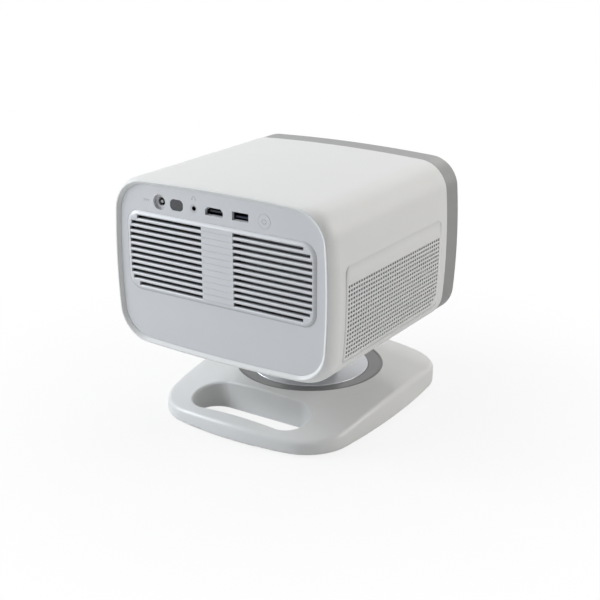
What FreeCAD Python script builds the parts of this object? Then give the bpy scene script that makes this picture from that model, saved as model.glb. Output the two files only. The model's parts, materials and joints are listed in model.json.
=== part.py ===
import FreeCAD, Part
import Sketcher
import math
import os
import re

# Compact home projector on a swivelling, tilting stand.
# The lens looks along -Y and the socket panel faces +Y. Z is up and the feet stand on Z = 0.
# The origin is the middle of the footprint. Lengthwise places are counted from the swivel axis.

doc = FreeCAD.newDocument("Projector")
sheet = doc.addObject("Spreadsheet::Sheet", "Sizes")

sizes = [
    # head casing
    ("head_width", 190.6, "widest point of the bowed sides"),
    ("head_height", 129.6, "highest point of the bowed top to the bowed underside"),
    ("head_depth", 185.2, "rear rim to the front of the trim ring"),
    ("head_rear_reach", 120.8, "swivel axis to the rear rim"),
    ("head_bottom", 64.1, "underside above the table"),
    ("side_bow", 500.0, "radius of the bowed sides"),
    ("top_bow", 1400.0, "radius of the bowed top and underside"),
    ("head_corner", 23.5, "radius of the long corners"),
    ("rim_width", 183.2, "widest point of the rear rim"),
    ("rim_height", 126.0, "highest point of the rear rim to its lowest"),
    ("rim_bottom", 67.0, "underside of the rear rim above the table"),
    ("rim_corner", 26.0, "radius of the rear rim's corners"),
    ("roll_length", 10.0, "stretch over which the casing narrows to its rear rim"),
    ("roll_share", 0.25, "share of that narrowing halfway along the stretch"),
    ("shell_wall", 3.0, "wall of the casing"),
    ("ring_depth", 20.3, "length of the front trim ring"),
    ("ring_step", 0.4, "how far the ring stands inside the casing"),
    ("ring_round", 1.6, "rounding of the ring's front edge"),
    ("ring_lap", 4.0, "spigot of the ring inside the casing"),
    ("ring_wall", 3.0, "wall of the ring's spigot"),
    ("rim_round", 0.8, "rounding of the casing's rear rim"),
    ("fit_gap", 0.1, "gap round a seated piece"),
    ("screw_gap", 0.02, "gap round a screw or a pressed pin"),
    ("run_gap", 0.05, "radial gap of a running fit"),
    # rear panel
    ("panel_recess", 2.4, "rear panel below the rear rim"),
    ("panel_wall", 2.4, "thickness of the rear panel"),
    ("rim_bevel", 2.1, "bevel inside the rear rim"),
    ("panel_ledge", 2.5, "ledge behind the rear panel, inward"),
    ("ledge_wall", 2.0, "that ledge's thickness"),
    ("vent_width", 163.0, "louvre insert across"),
    ("vent_height", 60.2, "louvre insert up"),
    ("vent_middle", 138.4, "height of the louvre insert's middle"),
    ("vent_corner", 11.0, "corner radius of the louvre insert"),
    ("vent_proud", 1.1, "louvre insert above the rear panel"),
    ("vent_bevel", 2.4, "width of the bevel round the louvre insert"),
    ("vent_flange", 2.0, "flange of the louvre insert behind the panel, outward"),
    ("flange_wall", 1.2, "that flange's thickness"),
    ("slat_count", 12, "louvre slots in each bank"),
    ("slat_pitch", 4.6, "louvre slot to slot"),
    ("slat_gap", 2.1, "height of one louvre slot"),
    ("slat_inner", 13.5, "middle to the near end of the louvre slots"),
    ("slat_outer", 78.5, "middle to the far end of the louvre slots"),
    ("slat_margin", 3.0, "least distance from a louvre slot to the insert's edge"),
    ("slat_round", 1.15, "rounding of the slats' front edges"),
    ("groove_deep", 0.3, "grooves across the blank between the banks"),
    ("groove_width", 0.35, "width of those grooves"),
    # sockets and controls on the rear panel
    ("port_line", 177.2, "height of the socket row"),
    ("dc_place", 50.8, "power inlet, sideways"),
    ("dc_rim", 5.6, "outer radius of the power inlet"),
    ("dc_bore", 3.0, "radius of the power inlet's bore"),
    ("dc_pin", 1.05, "radius of the power inlet's pin"),
    ("dc_deep", 9.5, "depth of the power inlet's bore"),
    ("dc_sunk", 2.0, "power inlet below the rear panel"),
    ("dc_lead", 0.6, "bevel at the mouth of the power inlet's bore"),
    ("jack_body", 13.0, "length of the round sockets' bodies"),
    ("jack_side", 4.5, "half width of the round sockets' bodies"),
    ("jack_rise", 4.6, "round sockets' bodies above the socket row"),
    ("ir_place", 35.4, "remote window, sideways"),
    ("ir_width", 11.4, "remote window across"),
    ("ir_height", 8.1, "remote window up"),
    ("ir_corner", 3.4, "corner radius of the remote window"),
    ("audio_place", 20.0, "audio socket, sideways"),
    ("audio_bore", 1.78, "radius of the audio socket's bore"),
    ("audio_body", 3.0, "radius of the audio socket's collar"),
    ("audio_deep", 12.0, "depth of the audio socket's bore"),
    ("video_place", 2.65, "video socket, sideways"),
    ("video_width", 15.1, "video socket across"),
    ("video_height", 5.7, "video socket up"),
    ("data_place", -19.6, "data socket, sideways"),
    ("data_width", 13.6, "data socket across"),
    ("data_height", 6.0, "data socket up"),
    ("socket_deep", 13.0, "length of the video and data sockets"),
    ("video_bevel", 2.2, "upper corners of the video socket"),
    ("socket_sunk", 1.6, "video and data sockets below the rear panel"),
    ("socket_wall", 0.5, "sheet of the socket shells"),
    ("tongue_thick", 1.2, "tongue inside a socket"),
    ("tongue_sunk", 1.0, "tongue behind a socket's mouth"),
    ("button_place", -39.5, "power button, sideways"),
    ("button_radius", 5.0, "power button"),
    ("button_gap", 0.15, "gap round the power button"),
    ("button_travel", 0.6, "stroke of the power button"),
    ("button_proud", 0.1, "power button above the rear panel"),
    ("button_flange", 1.2, "flange that keeps the cap behind the panel"),
    ("button_stem", 1.5, "radius of the power button's stem"),
    ("stem_length", 4.0, "power button's stem"),
    ("switch_half", 4.0, "half width of the power switch"),
    ("switch_deep", 6.0, "power switch along the button's axis"),
    ("receiver_half", 4.0, "half width of the remote receiver"),
    ("receiver_deep", 3.0, "remote receiver along Y"),
    # side grilles
    ("grille_rear", 104.0, "swivel axis to the rear edge of a side grille"),
    ("grille_front", 34.6, "swivel axis to the front edge of a side grille"),
    ("grille_top", 150.9, "top edge of a side grille"),
    ("grille_foot", 80.1, "lower edge of a side grille"),
    ("grille_wall", 1.4, "thickness of a side grille"),
    ("grille_land", 4.0, "ledge that a side grille is glued to"),
    ("grille_corner", 5.0, "corner radius of a side grille"),
    ("grille_reach", 68.0, "middle to the inner edge of a side grille's window"),
    ("tray_end_gap", 1.0, "gap at each end of the chassis tray"),
    # inside the head
    ("tray_wall", 4.4, "chassis tray above the casing floor"),
    ("board_wall", 1.6, "thickness of the circuit boards"),
    ("board_drop", 3.6, "main board's face below the socket row"),
    ("board_side", 70.0, "half width of the main board"),
    ("board_front", 30.0, "main board ahead of the swivel axis"),
    ("board_clear", 4.0, "main board's edge to the rear panel"),
    ("post_radius", 3.5, "board post"),
    ("post_side", 64.0, "board posts from the middle"),
    ("post_front", 24.0, "front board posts ahead of the swivel axis"),
    ("post_rear", 73.0, "rear board posts behind the swivel axis"),
    ("engine_side", 42.0, "half width of the light engine"),
    ("engine_front", 18.0, "light engine ahead of the swivel axis"),
    ("engine_rear", 40.0, "light engine behind the swivel axis"),
    ("engine_foot", 98.0, "underside of the light engine's body"),
    ("engine_top", 160.0, "top of the light engine"),
    ("engine_wall", 3.0, "wall of the light engine"),
    ("leg_half", 5.0, "half width of the light engine's legs"),
    ("chip_side", 22.0, "half width of the imaging board"),
    ("lens_line", 130.0, "height of the lens axis"),
    ("barrel_radius", 22.0, "lens barrel outside"),
    ("barrel_bore", 18.0, "lens barrel inside"),
    ("barrel_front", 45.0, "front of the lens barrel ahead of the swivel axis"),
    ("cell_length", 18.0, "focus cell along the axis"),
    ("cell_front", 55.5, "front of the focus cell ahead of the swivel axis"),
    ("cell_lip", 2.0, "lip behind the front lens, inward"),
    ("lip_wall", 1.0, "that lip's thickness"),
    ("plunger_place", 32.0, "focus plunger beside the lens axis"),
    ("plunger_radius", 1.5, "focus plunger"),
    ("plunger_length", 17.0, "focus plunger"),
    ("arm_half", 3.0, "half height of the focus cell's arm"),
    ("cell_wall", 4.5, "wall of the focus cell"),
    ("glass_bulge", 60.0, "radius of the front lens's curve"),
    ("glass_thick", 7.0, "front lens"),
    ("motor_radius", 6.0, "focus motor"),
    ("motor_length", 14.0, "focus motor"),
    ("front_recess", 2.8, "front panel inside the trim ring"),
    ("front_wall", 2.4, "thickness of the front panel"),
    ("front_flare", 30.0, "radius of the lens opening at the front"),
    ("front_hole", 27.6, "radius of the lens opening at the back of the front panel"),
    ("camera_half", 6.0, "half width of the focus camera"),
    ("camera_deep", 8.0, "focus camera along Y"),
    ("window_place", 52.0, "sensor window beside the lens axis"),
    ("window_width", 15.0, "sensor window across"),
    ("window_height", 8.0, "sensor window up"),
    ("fan_size", 52.0, "fan frame"),
    ("fan_deep", 12.0, "fan frame along the air flow"),
    ("fan_place", 44.0, "fan, sideways"),
    ("fan_rear", 98.0, "swivel axis to the rear face of the fan"),
    ("fan_bore", 24.5, "fan duct"),
    ("fan_hub", 9.0, "fan hub"),
    ("blade_gap", 0.8, "blade tip to the duct"),
    ("blade_count", 7, "fan blades"),
    ("blade_wall", 1.2, "fan blade"),
    ("fan_shaft", 1.5, "fan shaft"),
    ("fan_wall", 2.0, "spider at the front of the fan frame"),
    ("fan_arm", 3.0, "width of the spider's arms"),
    ("blade_width", 8.0, "fan blade along its chord"),
    ("blade_turn", 35.0, "degrees that a fan blade leans"),
    ("fan_leg", 9.0, "half width of the fan's leg"),
    ("sink_inner", 14.0, "heat sink, near edge from the middle"),
    ("sink_outer", 76.0, "heat sink, far edge from the middle"),
    ("sink_rear", 111.0, "swivel axis to the fin tips"),
    ("sink_deep", 24.0, "length of the fins"),
    ("sink_foot", 106.0, "lower end of the fins"),
    ("sink_top", 167.0, "upper end of the fins"),
    ("sink_base", 3.0, "heat sink's base plate"),
    ("fin_wall", 0.6, "one fin"),
    ("fin_pitch", 1.55, "fin to fin"),
    ("pipe_radius", 3.0, "heat pipe"),
    ("led_deep", 8.0, "lamp module outward from the light engine"),
    ("led_size", 16.0, "lamp module along and up"),
    ("led_pitch", 18.0, "lamp module to lamp module"),
    ("pipe_rise", 5.0, "heat pipes above and below the lens axis"),
    ("speaker_inner", 58.0, "speaker box, near face from the middle"),
    ("speaker_front", 4.0, "speaker box ahead of the swivel axis"),
    ("speaker_rear", 62.0, "speaker box behind the swivel axis"),
    ("speaker_foot", 84.0, "underside of the speaker box"),
    ("speaker_top", 134.0, "top of the speaker box"),
    ("speaker_leg", 74.0, "middle to the outer face of the speaker box's leg"),
    ("speaker_wall", 2.4, "wall of the speaker box"),
    ("baffle_place", 82.0, "speaker front from the middle"),
    ("cone_radius", 21.0, "speaker cone"),
    ("cone_gap", 0.4, "gap round a speaker cone"),
    ("cone_deep", 8.0, "speaker cone"),
    ("cone_wall", 1.0, "speaker cone"),
    ("coil_radius", 8.2, "voice coil outside"),
    ("coil_wall", 0.9, "voice coil"),
    ("coil_length", 8.0, "voice coil behind the cone"),
    ("coil_gap", 0.4, "gap each side of a voice coil"),
    ("magnet_radius", 14.0, "speaker magnet"),
    ("magnet_length", 9.6, "speaker magnet"),
    ("magnet_floor", 1.2, "plate that joins the magnet's ring and pole"),
    ("coil_inset", 4.0, "voice coil's inner end above the box's back wall"),
    # stand
    ("can_half", 20.0, "half width of the processor's cover"),
    ("can_front", 10.0, "swivel axis to the front of the processor's cover"),
    ("can_high", 5.0, "processor's cover"),
    ("radio_place", 32.0, "middle to the wireless module"),
    ("radio_size", 18.0, "wireless module"),
    ("radio_high", 2.4, "wireless module"),
    ("driver_side", 50.0, "half width of the lamp driver board"),
    ("driver_front", 46.0, "swivel axis to the front of the lamp driver board"),
    ("driver_rear", 78.0, "swivel axis to the rear of the lamp driver board"),
    ("drum_radius", 6.0, "capacitors on that board"),
    ("drum_high", 18.0, "capacitors on that board"),
    ("table_height", 25.6, "turntable's top above the table"),
    ("disc_radius", 46.7, "turntable disc"),
    ("disc_gap", 0.4, "gap round the turntable disc"),
    ("disc_drop", 0.5, "turntable disc below the rim of its trim ring"),
    ("spindle_root", 4.0, "spindle let into the disc"),
    ("spindle_tip", 0.6, "spindle below its nut"),
    ("trim_radius", 58.6, "outside of the turntable's trim ring"),
    ("line_inset", 1.4, "outer edge to the turned line in the trim ring"),
    ("line_width", 0.45, "turned line in the trim ring"),
    ("line_drop", 0.1, "trim ring's top just inside that line"),
    ("trim_dish", 1.2, "how deep the trim ring is dished"),
    ("well_floor", 19.0, "floor of the turntable's well"),
    ("washer_wall", 0.6, "thrust washer"),
    ("washer_radius", 40.0, "thrust washer outside"),
    ("spindle_radius", 8.0, "swivel spindle"),
    ("bush_wall", 2.0, "swivel bush"),
    ("boss_wall", 4.0, "boss round the swivel bush"),
    ("boss_foot", 10.8, "lower end of that boss"),
    ("clip_wall", 2.4, "retaining nut under the boss"),
    ("clip_radius", 12.5, "retaining nut"),
    ("clip_gap", 0.3, "gap between the nut and the boss"),
    ("neck_foot", 24.0, "radius of the neck at the turntable"),
    ("neck_top", 19.0, "radius of the neck at its shoulder"),
    ("neck_round", 6.0, "flare at the foot of the neck"),
    ("neck_blend", 7.0, "blend between the stretches of the neck"),
    ("neck_edge", 0.8, "rounding of the neck's shoulder"),
    ("shoulder", 47.1, "height of the neck's shoulder"),
    ("tilt_height", 56.1, "height of the tilt hinge"),
    ("knuckle_radius", 7.0, "tilt hinge knuckle"),
    ("knuckle_half", 9.0, "half width of the middle knuckle"),
    ("ear_wall", 5.0, "each ear of the neck"),
    ("ear_washer", 0.5, "friction washer beside the knuckle"),
    ("pin_radius", 3.0, "tilt hinge pin"),
    ("pad_side", 22.0, "half width of the bracket's pad"),
    ("pad_length", 18.0, "half length of the bracket's pad"),
    ("pad_drop", 0.6, "bracket's pad below the casing"),
    ("case_screw", 1.5, "radius of the case screws"),
    ("screw_head", 2.8, "radius of their heads"),
    ("head_thick", 1.6, "height of their heads"),
    # base
    ("base_width", 167.2, "widest point of the base"),
    ("base_rear_reach", 111.5, "swivel axis to the rear edge of the base"),
    ("base_front_reach", 94.0, "swivel axis to the front edge of the base"),
    ("base_side_bow", 550.0, "radius of the base's bowed sides"),
    ("base_end_bow", 260.0, "radius of the base's bowed ends"),
    ("base_corner", 39.0, "corner radius of the base"),
    ("dome_radius", 400.0, "radius of the domed top"),
    ("dome_peak", 29.9, "height that the dome would reach at the swivel axis"),
    ("base_top_round", 4.0, "rounding of the base's upper edge"),
    ("base_low_round", 2.8, "rounding of the base's lower edge"),
    ("base_wall", 3.0, "wall of the base cover"),
    ("foot_height", 1.2, "feet below the base"),
    ("foot_sink", 0.8, "feet let into the base"),
    ("foot_radius", 9.0, "each foot"),
    ("foot_side_inset", 20.1, "feet in from the sides"),
    ("foot_front_inset", 34.0, "front feet in from the front edge"),
    ("foot_rear_inset", 37.5, "rear feet in from the rear edge"),
    ("plate_wall", 3.0, "bottom plate"),
    ("weight_wall", 5.0, "steel weight"),
    ("weight_inset", 10.0, "steel weight in from the edge"),
    ("weight_hole", 17.0, "radius of the hole in the weight"),
    ("grip_length", 100.0, "carrying slot end to end"),
    ("grip_width", 34.5, "carrying slot across"),
    ("grip_place", 81.7, "swivel axis to the middle of the carrying slot"),
    ("grip_wall", 2.6, "wall round the carrying slot"),
    ("grip_round", 2.0, "rounding of the carrying slot's upper rim"),
]

value = {}
for row, (alias, number, note) in enumerate(sizes, 1):
    sheet.set(f"A{row}", note)
    sheet.set(f"B{row}", str(number))
    sheet.setAlias(f"B{row}", alias)
    value[alias] = number
doc.recompute()

# Places worked out from the sizes above. axis_y puts the middle of the footprint at the origin.
derived = {
    "axis_y": "(base_front_reach - head_rear_reach) / 2",
    "half_width": "head_width / 2",
    "head_middle": "(head_bottom + head_height / 2)",
    "rim_middle": "(rim_bottom + rim_height / 2)",
    "head_front": "(head_rear_reach - head_depth)",
    "ring_back": "(head_rear_reach - head_depth + ring_depth)",
    "panel_face": "(head_rear_reach - panel_recess)",
    "panel_back": "(head_rear_reach - panel_recess - panel_wall)",
    "tray_top": "(head_bottom + shell_wall + tray_wall)",
    "board_face": "(port_line - board_drop)",
    "board_under": "(port_line - board_drop - board_wall)",
    "board_end": "(head_rear_reach - panel_recess - panel_wall - board_clear)",
    "front_face": "(head_rear_reach - head_depth + front_recess)",
    "front_back": "(head_rear_reach - head_depth + front_recess + front_wall)",
    "disc_under": "(well_floor + washer_wall)",
    "plate_top": "(foot_height + plate_wall)",
    "base_middle": "((base_rear_reach - base_front_reach) / 2)",
    "base_half": "((base_rear_reach + base_front_reach) / 2)",
}


def spelled(formula):
    """Write a formula's derived places and sheet names out in full."""
    text = str(formula)
    for _ in range(3):
        text = re.sub(r"[a-z_]+", lambda m: "(" + derived[m[0]] + ")" if m[0] in derived else m[0], text)
    return re.sub(r"[a-z][a-z_]+", lambda m: "Sizes." + m[0] if m[0] in value else m[0], text)


def bind(piece, **formulas):
    """Tie an object's properties to the sheet."""
    for name, formula in formulas.items():
        piece.setExpression(name, spelled(formula))


def put(piece, x=0, y=0, z=0):
    """Place an object. y is counted from the swivel axis."""
    piece.setExpression("Placement.Base.x", spelled(x))
    piece.setExpression("Placement.Base.y", spelled(f"axis_y + {y}"))
    piece.setExpression("Placement.Base.z", spelled(z))
    return piece


def turned(piece, axis):
    """Turn an object's own Z onto the named axis."""
    turns = {
        "x": FreeCAD.Rotation(FreeCAD.Vector(0, 1, 0), 90),
        "y": FreeCAD.Rotation(FreeCAD.Vector(1, 0, 0), -90),
        "z": FreeCAD.Rotation(),
    }
    piece.Placement = FreeCAD.Placement(FreeCAD.Vector(), turns[axis])
    return piece


def box(x, y, z):
    """A box from three spans, each a pair of places."""
    piece = doc.addObject("Part::Box", "Block")
    bind(piece, Length=f"({x[1]}) - ({x[0]})", Width=f"({y[1]}) - ({y[0]})", Height=f"({z[1]}) - ({z[0]})")
    return put(piece, x[0], y[0], z[0])


def rod(axis, centre, radius, length):
    """A cylinder along an axis that starts at a place."""
    piece = turned(doc.addObject("Part::Cylinder", "Rod"), axis)
    bind(piece, Radius=radius, Height=length)
    return put(piece, *centre)


def taper(axis, centre, start, end, length):
    """A cone along an axis that starts at a place."""
    piece = turned(doc.addObject("Part::Cone", "Taper"), axis)
    bind(piece, Radius1=start, Radius2=end, Height=length)
    return put(piece, *centre)


def fuse(*pieces):
    joined = doc.addObject("Part::MultiFuse", "Joined")
    joined.Shapes = list(pieces)
    return joined


def common(*pieces):
    shared = doc.addObject("Part::MultiCommon", "Shared")
    shared.Shapes = list(pieces)
    return shared


def group(*pieces):
    """Separate solids that share one node."""
    compound = doc.addObject("Part::Compound", "Group")
    compound.Links = list(pieces)
    return compound


def cut(piece, *tools):
    """Take tools away from a piece."""
    remaining = doc.addObject("Part::Cut", "Remaining")
    remaining.Base = piece
    remaining.Tool = tools[0] if len(tools) == 1 else fuse(*tools)
    return remaining


def rounded(piece, radius, chosen):
    """Fillet the edges that a test picks."""
    doc.recompute()
    fillet = doc.addObject("Part::Fillet", "Rounded")
    fillet.Base = piece
    fillet.Edges = [(i, radius, radius) for i, edge in enumerate(piece.Shape.Edges, 1) if chosen(edge)]
    return fillet


def bevelled(piece, size, chosen):
    """Chamfer the edges that a test picks."""
    doc.recompute()
    chamfer = doc.addObject("Part::Chamfer", "Bevelled")
    chamfer.Base = piece
    chamfer.Edges = [(i, size, size) for i, edge in enumerate(piece.Shape.Edges, 1) if chosen(edge)]
    return chamfer


def near(a, b):
    return abs(a - b) < 0.001


def flat_at(axis, place):
    """A test for edges that lie in one plane across an axis."""
    low = axis + "Min"
    high = axis + "Max"
    return lambda edge: near(getattr(edge.BoundBox, low), place) and near(getattr(edge.BoundBox, high), place)


def along(axis):
    """A test for straight edges along an axis."""
    size = axis + "Length"
    return lambda edge: near(edge.Length, getattr(edge.BoundBox, size))


nodes = []


def node(piece, name):
    """Give a finished piece the name of its file."""
    piece.Label = name
    nodes.append(piece)
    return piece


def bowed(axis, sides, inset, corner, start, length):
    """A block with four bowed sides and rounded long corners, moved in by the named insets."""
    walls = []
    less = " - ".join(["0"] + inset)
    for x, y, z, radius in sides:
        wall = rod(axis, (x, y, z), f"{radius} + ({less})", length)
        if not str(x).startswith("-") and str(x) != "0":
            half_turn = FreeCAD.Rotation(FreeCAD.Vector(0, 0, 1), 180)
            wall.Placement = FreeCAD.Placement(wall.Placement.Base, wall.Placement.Rotation * half_turn)
            put(wall, x, y, z)
        walls.append(wall)
    block = common(*walls)
    radius = amount(corner) - sum(value[name] for name in inset)
    return rounded(block, radius, along(axis.upper()))


def casing_block(share, inset, start, end):
    """The casing's outline, narrowed by a share towards its rear rim and moved in by the named insets."""
    width, height, middle, corner = [
        f"({body} + ({rim} - {body}) * {share})"
        for body, rim in (
            ("head_width", "rim_width"),
            ("head_height", "rim_height"),
            ("head_middle", "rim_middle"),
            ("head_corner", "rim_corner"),
        )
    ]
    side = f"{width} / 2 - side_bow"
    rise = f"{height} / 2 - top_bow"
    sides = [
        (f"({side})", start, middle, "side_bow"),
        (f"-({side})", start, middle, "side_bow"),
        (0, start, f"{middle} + {rise}", "top_bow"),
        (0, start, f"{middle} - ({rise})", "top_bow"),
    ]
    return bowed("y", sides, inset, corner, start, f"({end}) - ({start})")


def head_block(inset, start, end):
    """The casing's outline, moved in by the named insets, between two lengthwise places."""
    return casing_block(0, inset, start, end)


def rim_block(inset, start, end):
    """The rear rim's outline, moved in by the named insets, between two lengthwise places."""
    return casing_block(1, inset, start, end)


def base_block(inset, low, high):
    """The base's outline, moved in by the named insets, between two heights."""
    side = "base_width / 2 - base_side_bow"
    end = "base_half - base_end_bow"
    sides = [
        (f"({side})", "base_middle", low, "base_side_bow"),
        (f"-({side})", "base_middle", low, "base_side_bow"),
        (0, f"base_middle + {end}", low, "base_end_bow"),
        (0, f"base_middle - ({end})", low, "base_end_bow"),
    ]
    return bowed("z", sides, inset, "base_corner", low, f"({high}) - ({low})")


def oblong(axis, centre, width, height, length):
    """A bar with round ends: two rods and the box between them. Width is sideways."""
    x, y, z = centre
    reach = f"(({width}) - ({height})) / 2"
    left = rod(axis, (f"{x} - {reach}", y, z), f"({height}) / 2", length)
    right = rod(axis, (f"{x} + {reach}", y, z), f"({height}) / 2", length)
    half = f"({height}) / 2"
    across = (f"{x} - {reach}", f"{x} + {reach}")
    if axis == "y":
        middle = box(across, (y, f"{y} + {length}"), (f"{z} - {half}", f"{z} + {half}"))
    else:
        middle = box(across, (f"{y} - {half}", f"{y} + {half}"), (z, f"{z} + {length}"))
    return fuse(left, right, middle)


def revolved(profile, centre):
    """A turned piece: a closed outline of (radius, height) points spun about Z."""
    body = doc.addObject("PartDesign::Body", "Turned")
    sketch = outlined(body, "XZ_Plane", profile)
    spin = body.newObject("PartDesign::Revolution", "Spin")
    spin.Profile = sketch
    spin.ReferenceAxis = (sketch, ["V_Axis"])
    spin.Angle = 360
    return put(body, *centre)


def plane_of(body, role):
    for feature in body.Origin.OriginFeatures:
        if feature.Role == role:
            return feature


def outlined(body, role, points):
    """A fully constrained sketch of straight lines through the given points."""
    sketch = body.newObject("Sketcher::SketchObject", "Outline")
    sketch.AttachmentSupport = [(plane_of(body, role), "")]
    sketch.MapMode = "FlatFace"
    places = [(amount(u), amount(v)) for u, v in points]
    for i, (u, v) in enumerate(places):
        after = places[(i + 1) % len(places)]
        line = Part.LineSegment(FreeCAD.Vector(u, v, 0), FreeCAD.Vector(*after, 0))
        sketch.addGeometry(line, False)
    count = len(points)
    for i in range(count):
        sketch.addConstraint(Sketcher.Constraint("Coincident", i, 2, (i + 1) % count, 1))
    for i, (u, v) in enumerate(points):
        across = sketch.addConstraint(Sketcher.Constraint("DistanceX", -1, 1, i, 1, places[i][0]))
        sketch.setExpression(f"Constraints[{across}]", spelled(u))
        upward = sketch.addConstraint(Sketcher.Constraint("DistanceY", -1, 1, i, 1, places[i][1]))
        sketch.setExpression(f"Constraints[{upward}]", spelled(v))
    return sketch


def amount(formula):
    """A formula's value, worked out in a spare cell of the sheet."""
    sheet.set("D1", "=" + spelled(formula).replace("Sizes.", ""))
    sheet.recompute()
    return float(sheet.get("D1"))


# Base

def dome(inset):
    """The ball that rounds off the top of the base."""
    ball = doc.addObject("Part::Sphere", "Dome")
    bind(ball, Radius=f"dome_radius - ({inset})")
    return put(ball, 0, 0, "dome_peak - dome_radius")


def grip(grow, low, high):
    """The carrying slot's outline, grown by a wall, between two heights."""
    width = f"grip_length + 2 * ({grow})"
    height = f"grip_width + 2 * ({grow})"
    return oblong("z", (0, "grip_place", low), width, height, f"({high}) - ({low})")


foot_places = [
    (f"{side} * (base_width / 2 - foot_side_inset)", along_base)
    for side in (-1, 1)
    for along_base in ("base_rear_reach - foot_rear_inset", "foot_front_inset - base_front_reach")
]


def at_feet(radius, low, high):
    """The same upright rod at each foot."""
    return [rod("z", (x, y, low), radius, f"({high}) - ({low})") for x, y in foot_places]


def is_top_edge(edge):
    """The edge where the dome meets the base's sides."""
    upright = near(edge.Length, edge.BoundBox.ZLength)
    return edge.BoundBox.ZMin > value["foot_height"] + 1 and not upright


def is_grip_rim(edge):
    """The upper rim of the carrying slot."""
    bounds = edge.BoundBox
    upright = near(edge.Length, bounds.ZLength)
    reach = value["grip_width"] / 2 + 0.01
    middle = value["grip_place"] + (value["base_front_reach"] - value["head_rear_reach"]) / 2
    inside = bounds.YMin > middle - reach and bounds.YMax < middle + reach
    wide = bounds.XMax < value["grip_length"] / 2 + 0.01 and bounds.XMin > -value["grip_length"] / 2 - 0.01
    return inside and wide and not upright and bounds.ZMin > value["foot_height"] + value["plate_wall"]


def make_base_cover():
    solid = common(base_block([], "foot_height", "dome_peak + 1"), dome("0"))
    solid = rounded(solid, value["base_top_round"], is_top_edge)
    solid = rounded(solid, value["base_low_round"], flat_at("Z", value["foot_height"]))
    hollow = common(base_block(["base_wall"], "foot_height - 1", "dome_peak"), dome("base_wall"))
    well = rod("z", (0, 0, "well_floor - base_wall"), "trim_radius + base_wall", "dome_peak")
    boss = rod("z", (0, 0, "boss_foot"), "spindle_radius + bush_wall + boss_wall", "dome_peak")
    posts = at_feet("screw_head + base_wall / 2", "plate_top", "dome_peak")
    hollow = cut(hollow, grip("grip_wall", "0", "dome_peak"), well, boss, *posts)
    bush_hole = rod("z", (0, 0, "0"), "spindle_radius + run_gap + bush_wall + screw_gap", "dome_peak")
    well_hole = rod("z", (0, 0, "well_floor"), "trim_radius", "dome_peak")
    screw_holes = at_feet("case_screw + screw_gap", "0", "plate_top + 3 * case_screw + fit_gap")
    slot = grip("0", "-1", "dome_peak")
    cover = cut(solid, hollow, slot, bush_hole, well_hole, *screw_holes)
    return rounded(cover, value["grip_round"], is_grip_rim)


def make_bottom_plate():
    plate = base_block(["base_wall", "fit_gap"], "foot_height", "plate_top")
    slot = grip("grip_wall + fit_gap", "-1", "plate_top + 1")
    seats = at_feet("foot_radius + fit_gap", "0", "foot_height + foot_sink")
    heads = at_feet("screw_head + fit_gap", "0", "foot_height + foot_sink + head_thick")
    holes = at_feet("case_screw + fit_gap", "0", "plate_top + 1")
    return cut(plate, slot, *seats, *heads, *holes)


def make_weight():
    plate = base_block(["weight_inset"], "plate_top", "plate_top + weight_wall")
    block = common(plate, dome("base_wall + fit_gap"))
    slot = grip("grip_wall + button_gap", "0", "dome_peak")
    middle = rod("z", (0, 0, "0"), "weight_hole", "dome_peak")
    return cut(block, slot, middle, *at_feet("screw_head + base_wall", "0", "dome_peak"))


def make_base_screws():
    low = "foot_height + foot_sink"
    heads = at_feet("screw_head", low, f"{low} + head_thick")
    shanks = at_feet("case_screw", f"{low} + head_thick", "plate_top + 3 * case_screw")
    return group(*[fuse(head, shank) for head, shank in zip(heads, shanks)])


node(make_base_cover(), "base_cover")
node(make_bottom_plate(), "base_bottom_plate")
node(make_weight(), "base_weight")
node(make_base_screws(), "base_screws")
node(group(*at_feet("foot_radius", "0", "foot_height + foot_sink")), "foot_pads")


# Swivel

def tube(axis, centre, outside, inside, length):
    """A tube along an axis that starts at a place."""
    return cut(rod(axis, centre, outside, length), rod(axis, centre, inside, length))


disc_top = "(table_height - disc_drop)"
trim_inner = "disc_radius + disc_gap"
trim_outer = "trim_radius - fit_gap"
trim_profile = [
    (trim_inner, "0"),
    (trim_outer, "0"),
    (trim_outer, "table_height - well_floor"),
    ("trim_radius - line_inset", "table_height - well_floor"),
    ("trim_radius - line_inset", "table_height - well_floor - line_width"),
    ("trim_radius - line_inset - line_width", "table_height - well_floor - line_width"),
    ("trim_radius - line_inset - line_width", "table_height - well_floor - line_drop"),
    (trim_inner, "table_height - well_floor - trim_dish"),
]
node(revolved(trim_profile, (0, 0, "well_floor")), "turntable_trim")

bush_inner = "spindle_radius + run_gap"
bush = tube("z", (0, 0, "boss_foot"), f"{bush_inner} + bush_wall", bush_inner, "well_floor - boss_foot")
node(bush, "swivel_bush")

washer_inner = "spindle_radius + bush_wall + boss_wall"
washer = tube("z", (0, 0, "well_floor"), "washer_radius", washer_inner, "washer_wall")
node(washer, "thrust_washer")

neck_screw_place = "(neck_top - screw_head)"
neck_screw_spots = [(f"{sign}{neck_screw_place}", 0) for sign in ("", "-")]
neck_screw_spots += [(0, f"{sign}{neck_screw_place}") for sign in ("", "-")]


def at_neck_screws(radius, low, high):
    """The same upright rod at each screw of the neck."""
    return [rod("z", (x, y, low), radius, f"({high}) - ({low})") for x, y in neck_screw_spots]


def make_disc():
    disc = rod("z", (0, 0, "disc_under"), "disc_radius", f"{disc_top} - disc_under")
    disc = rounded(disc, value["disc_drop"], flat_at("Z", value["table_height"] - value["disc_drop"]))
    root = rod("z", (0, 0, "0"), "spindle_radius + screw_gap", "disc_under + spindle_root")
    heads = at_neck_screws("screw_head + fit_gap", "0", "disc_under + head_thick")
    holes = at_neck_screws("case_screw + fit_gap", "0", "table_height")
    return cut(disc, root, *heads, *holes)


node(make_disc(), "turntable_disc")

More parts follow.
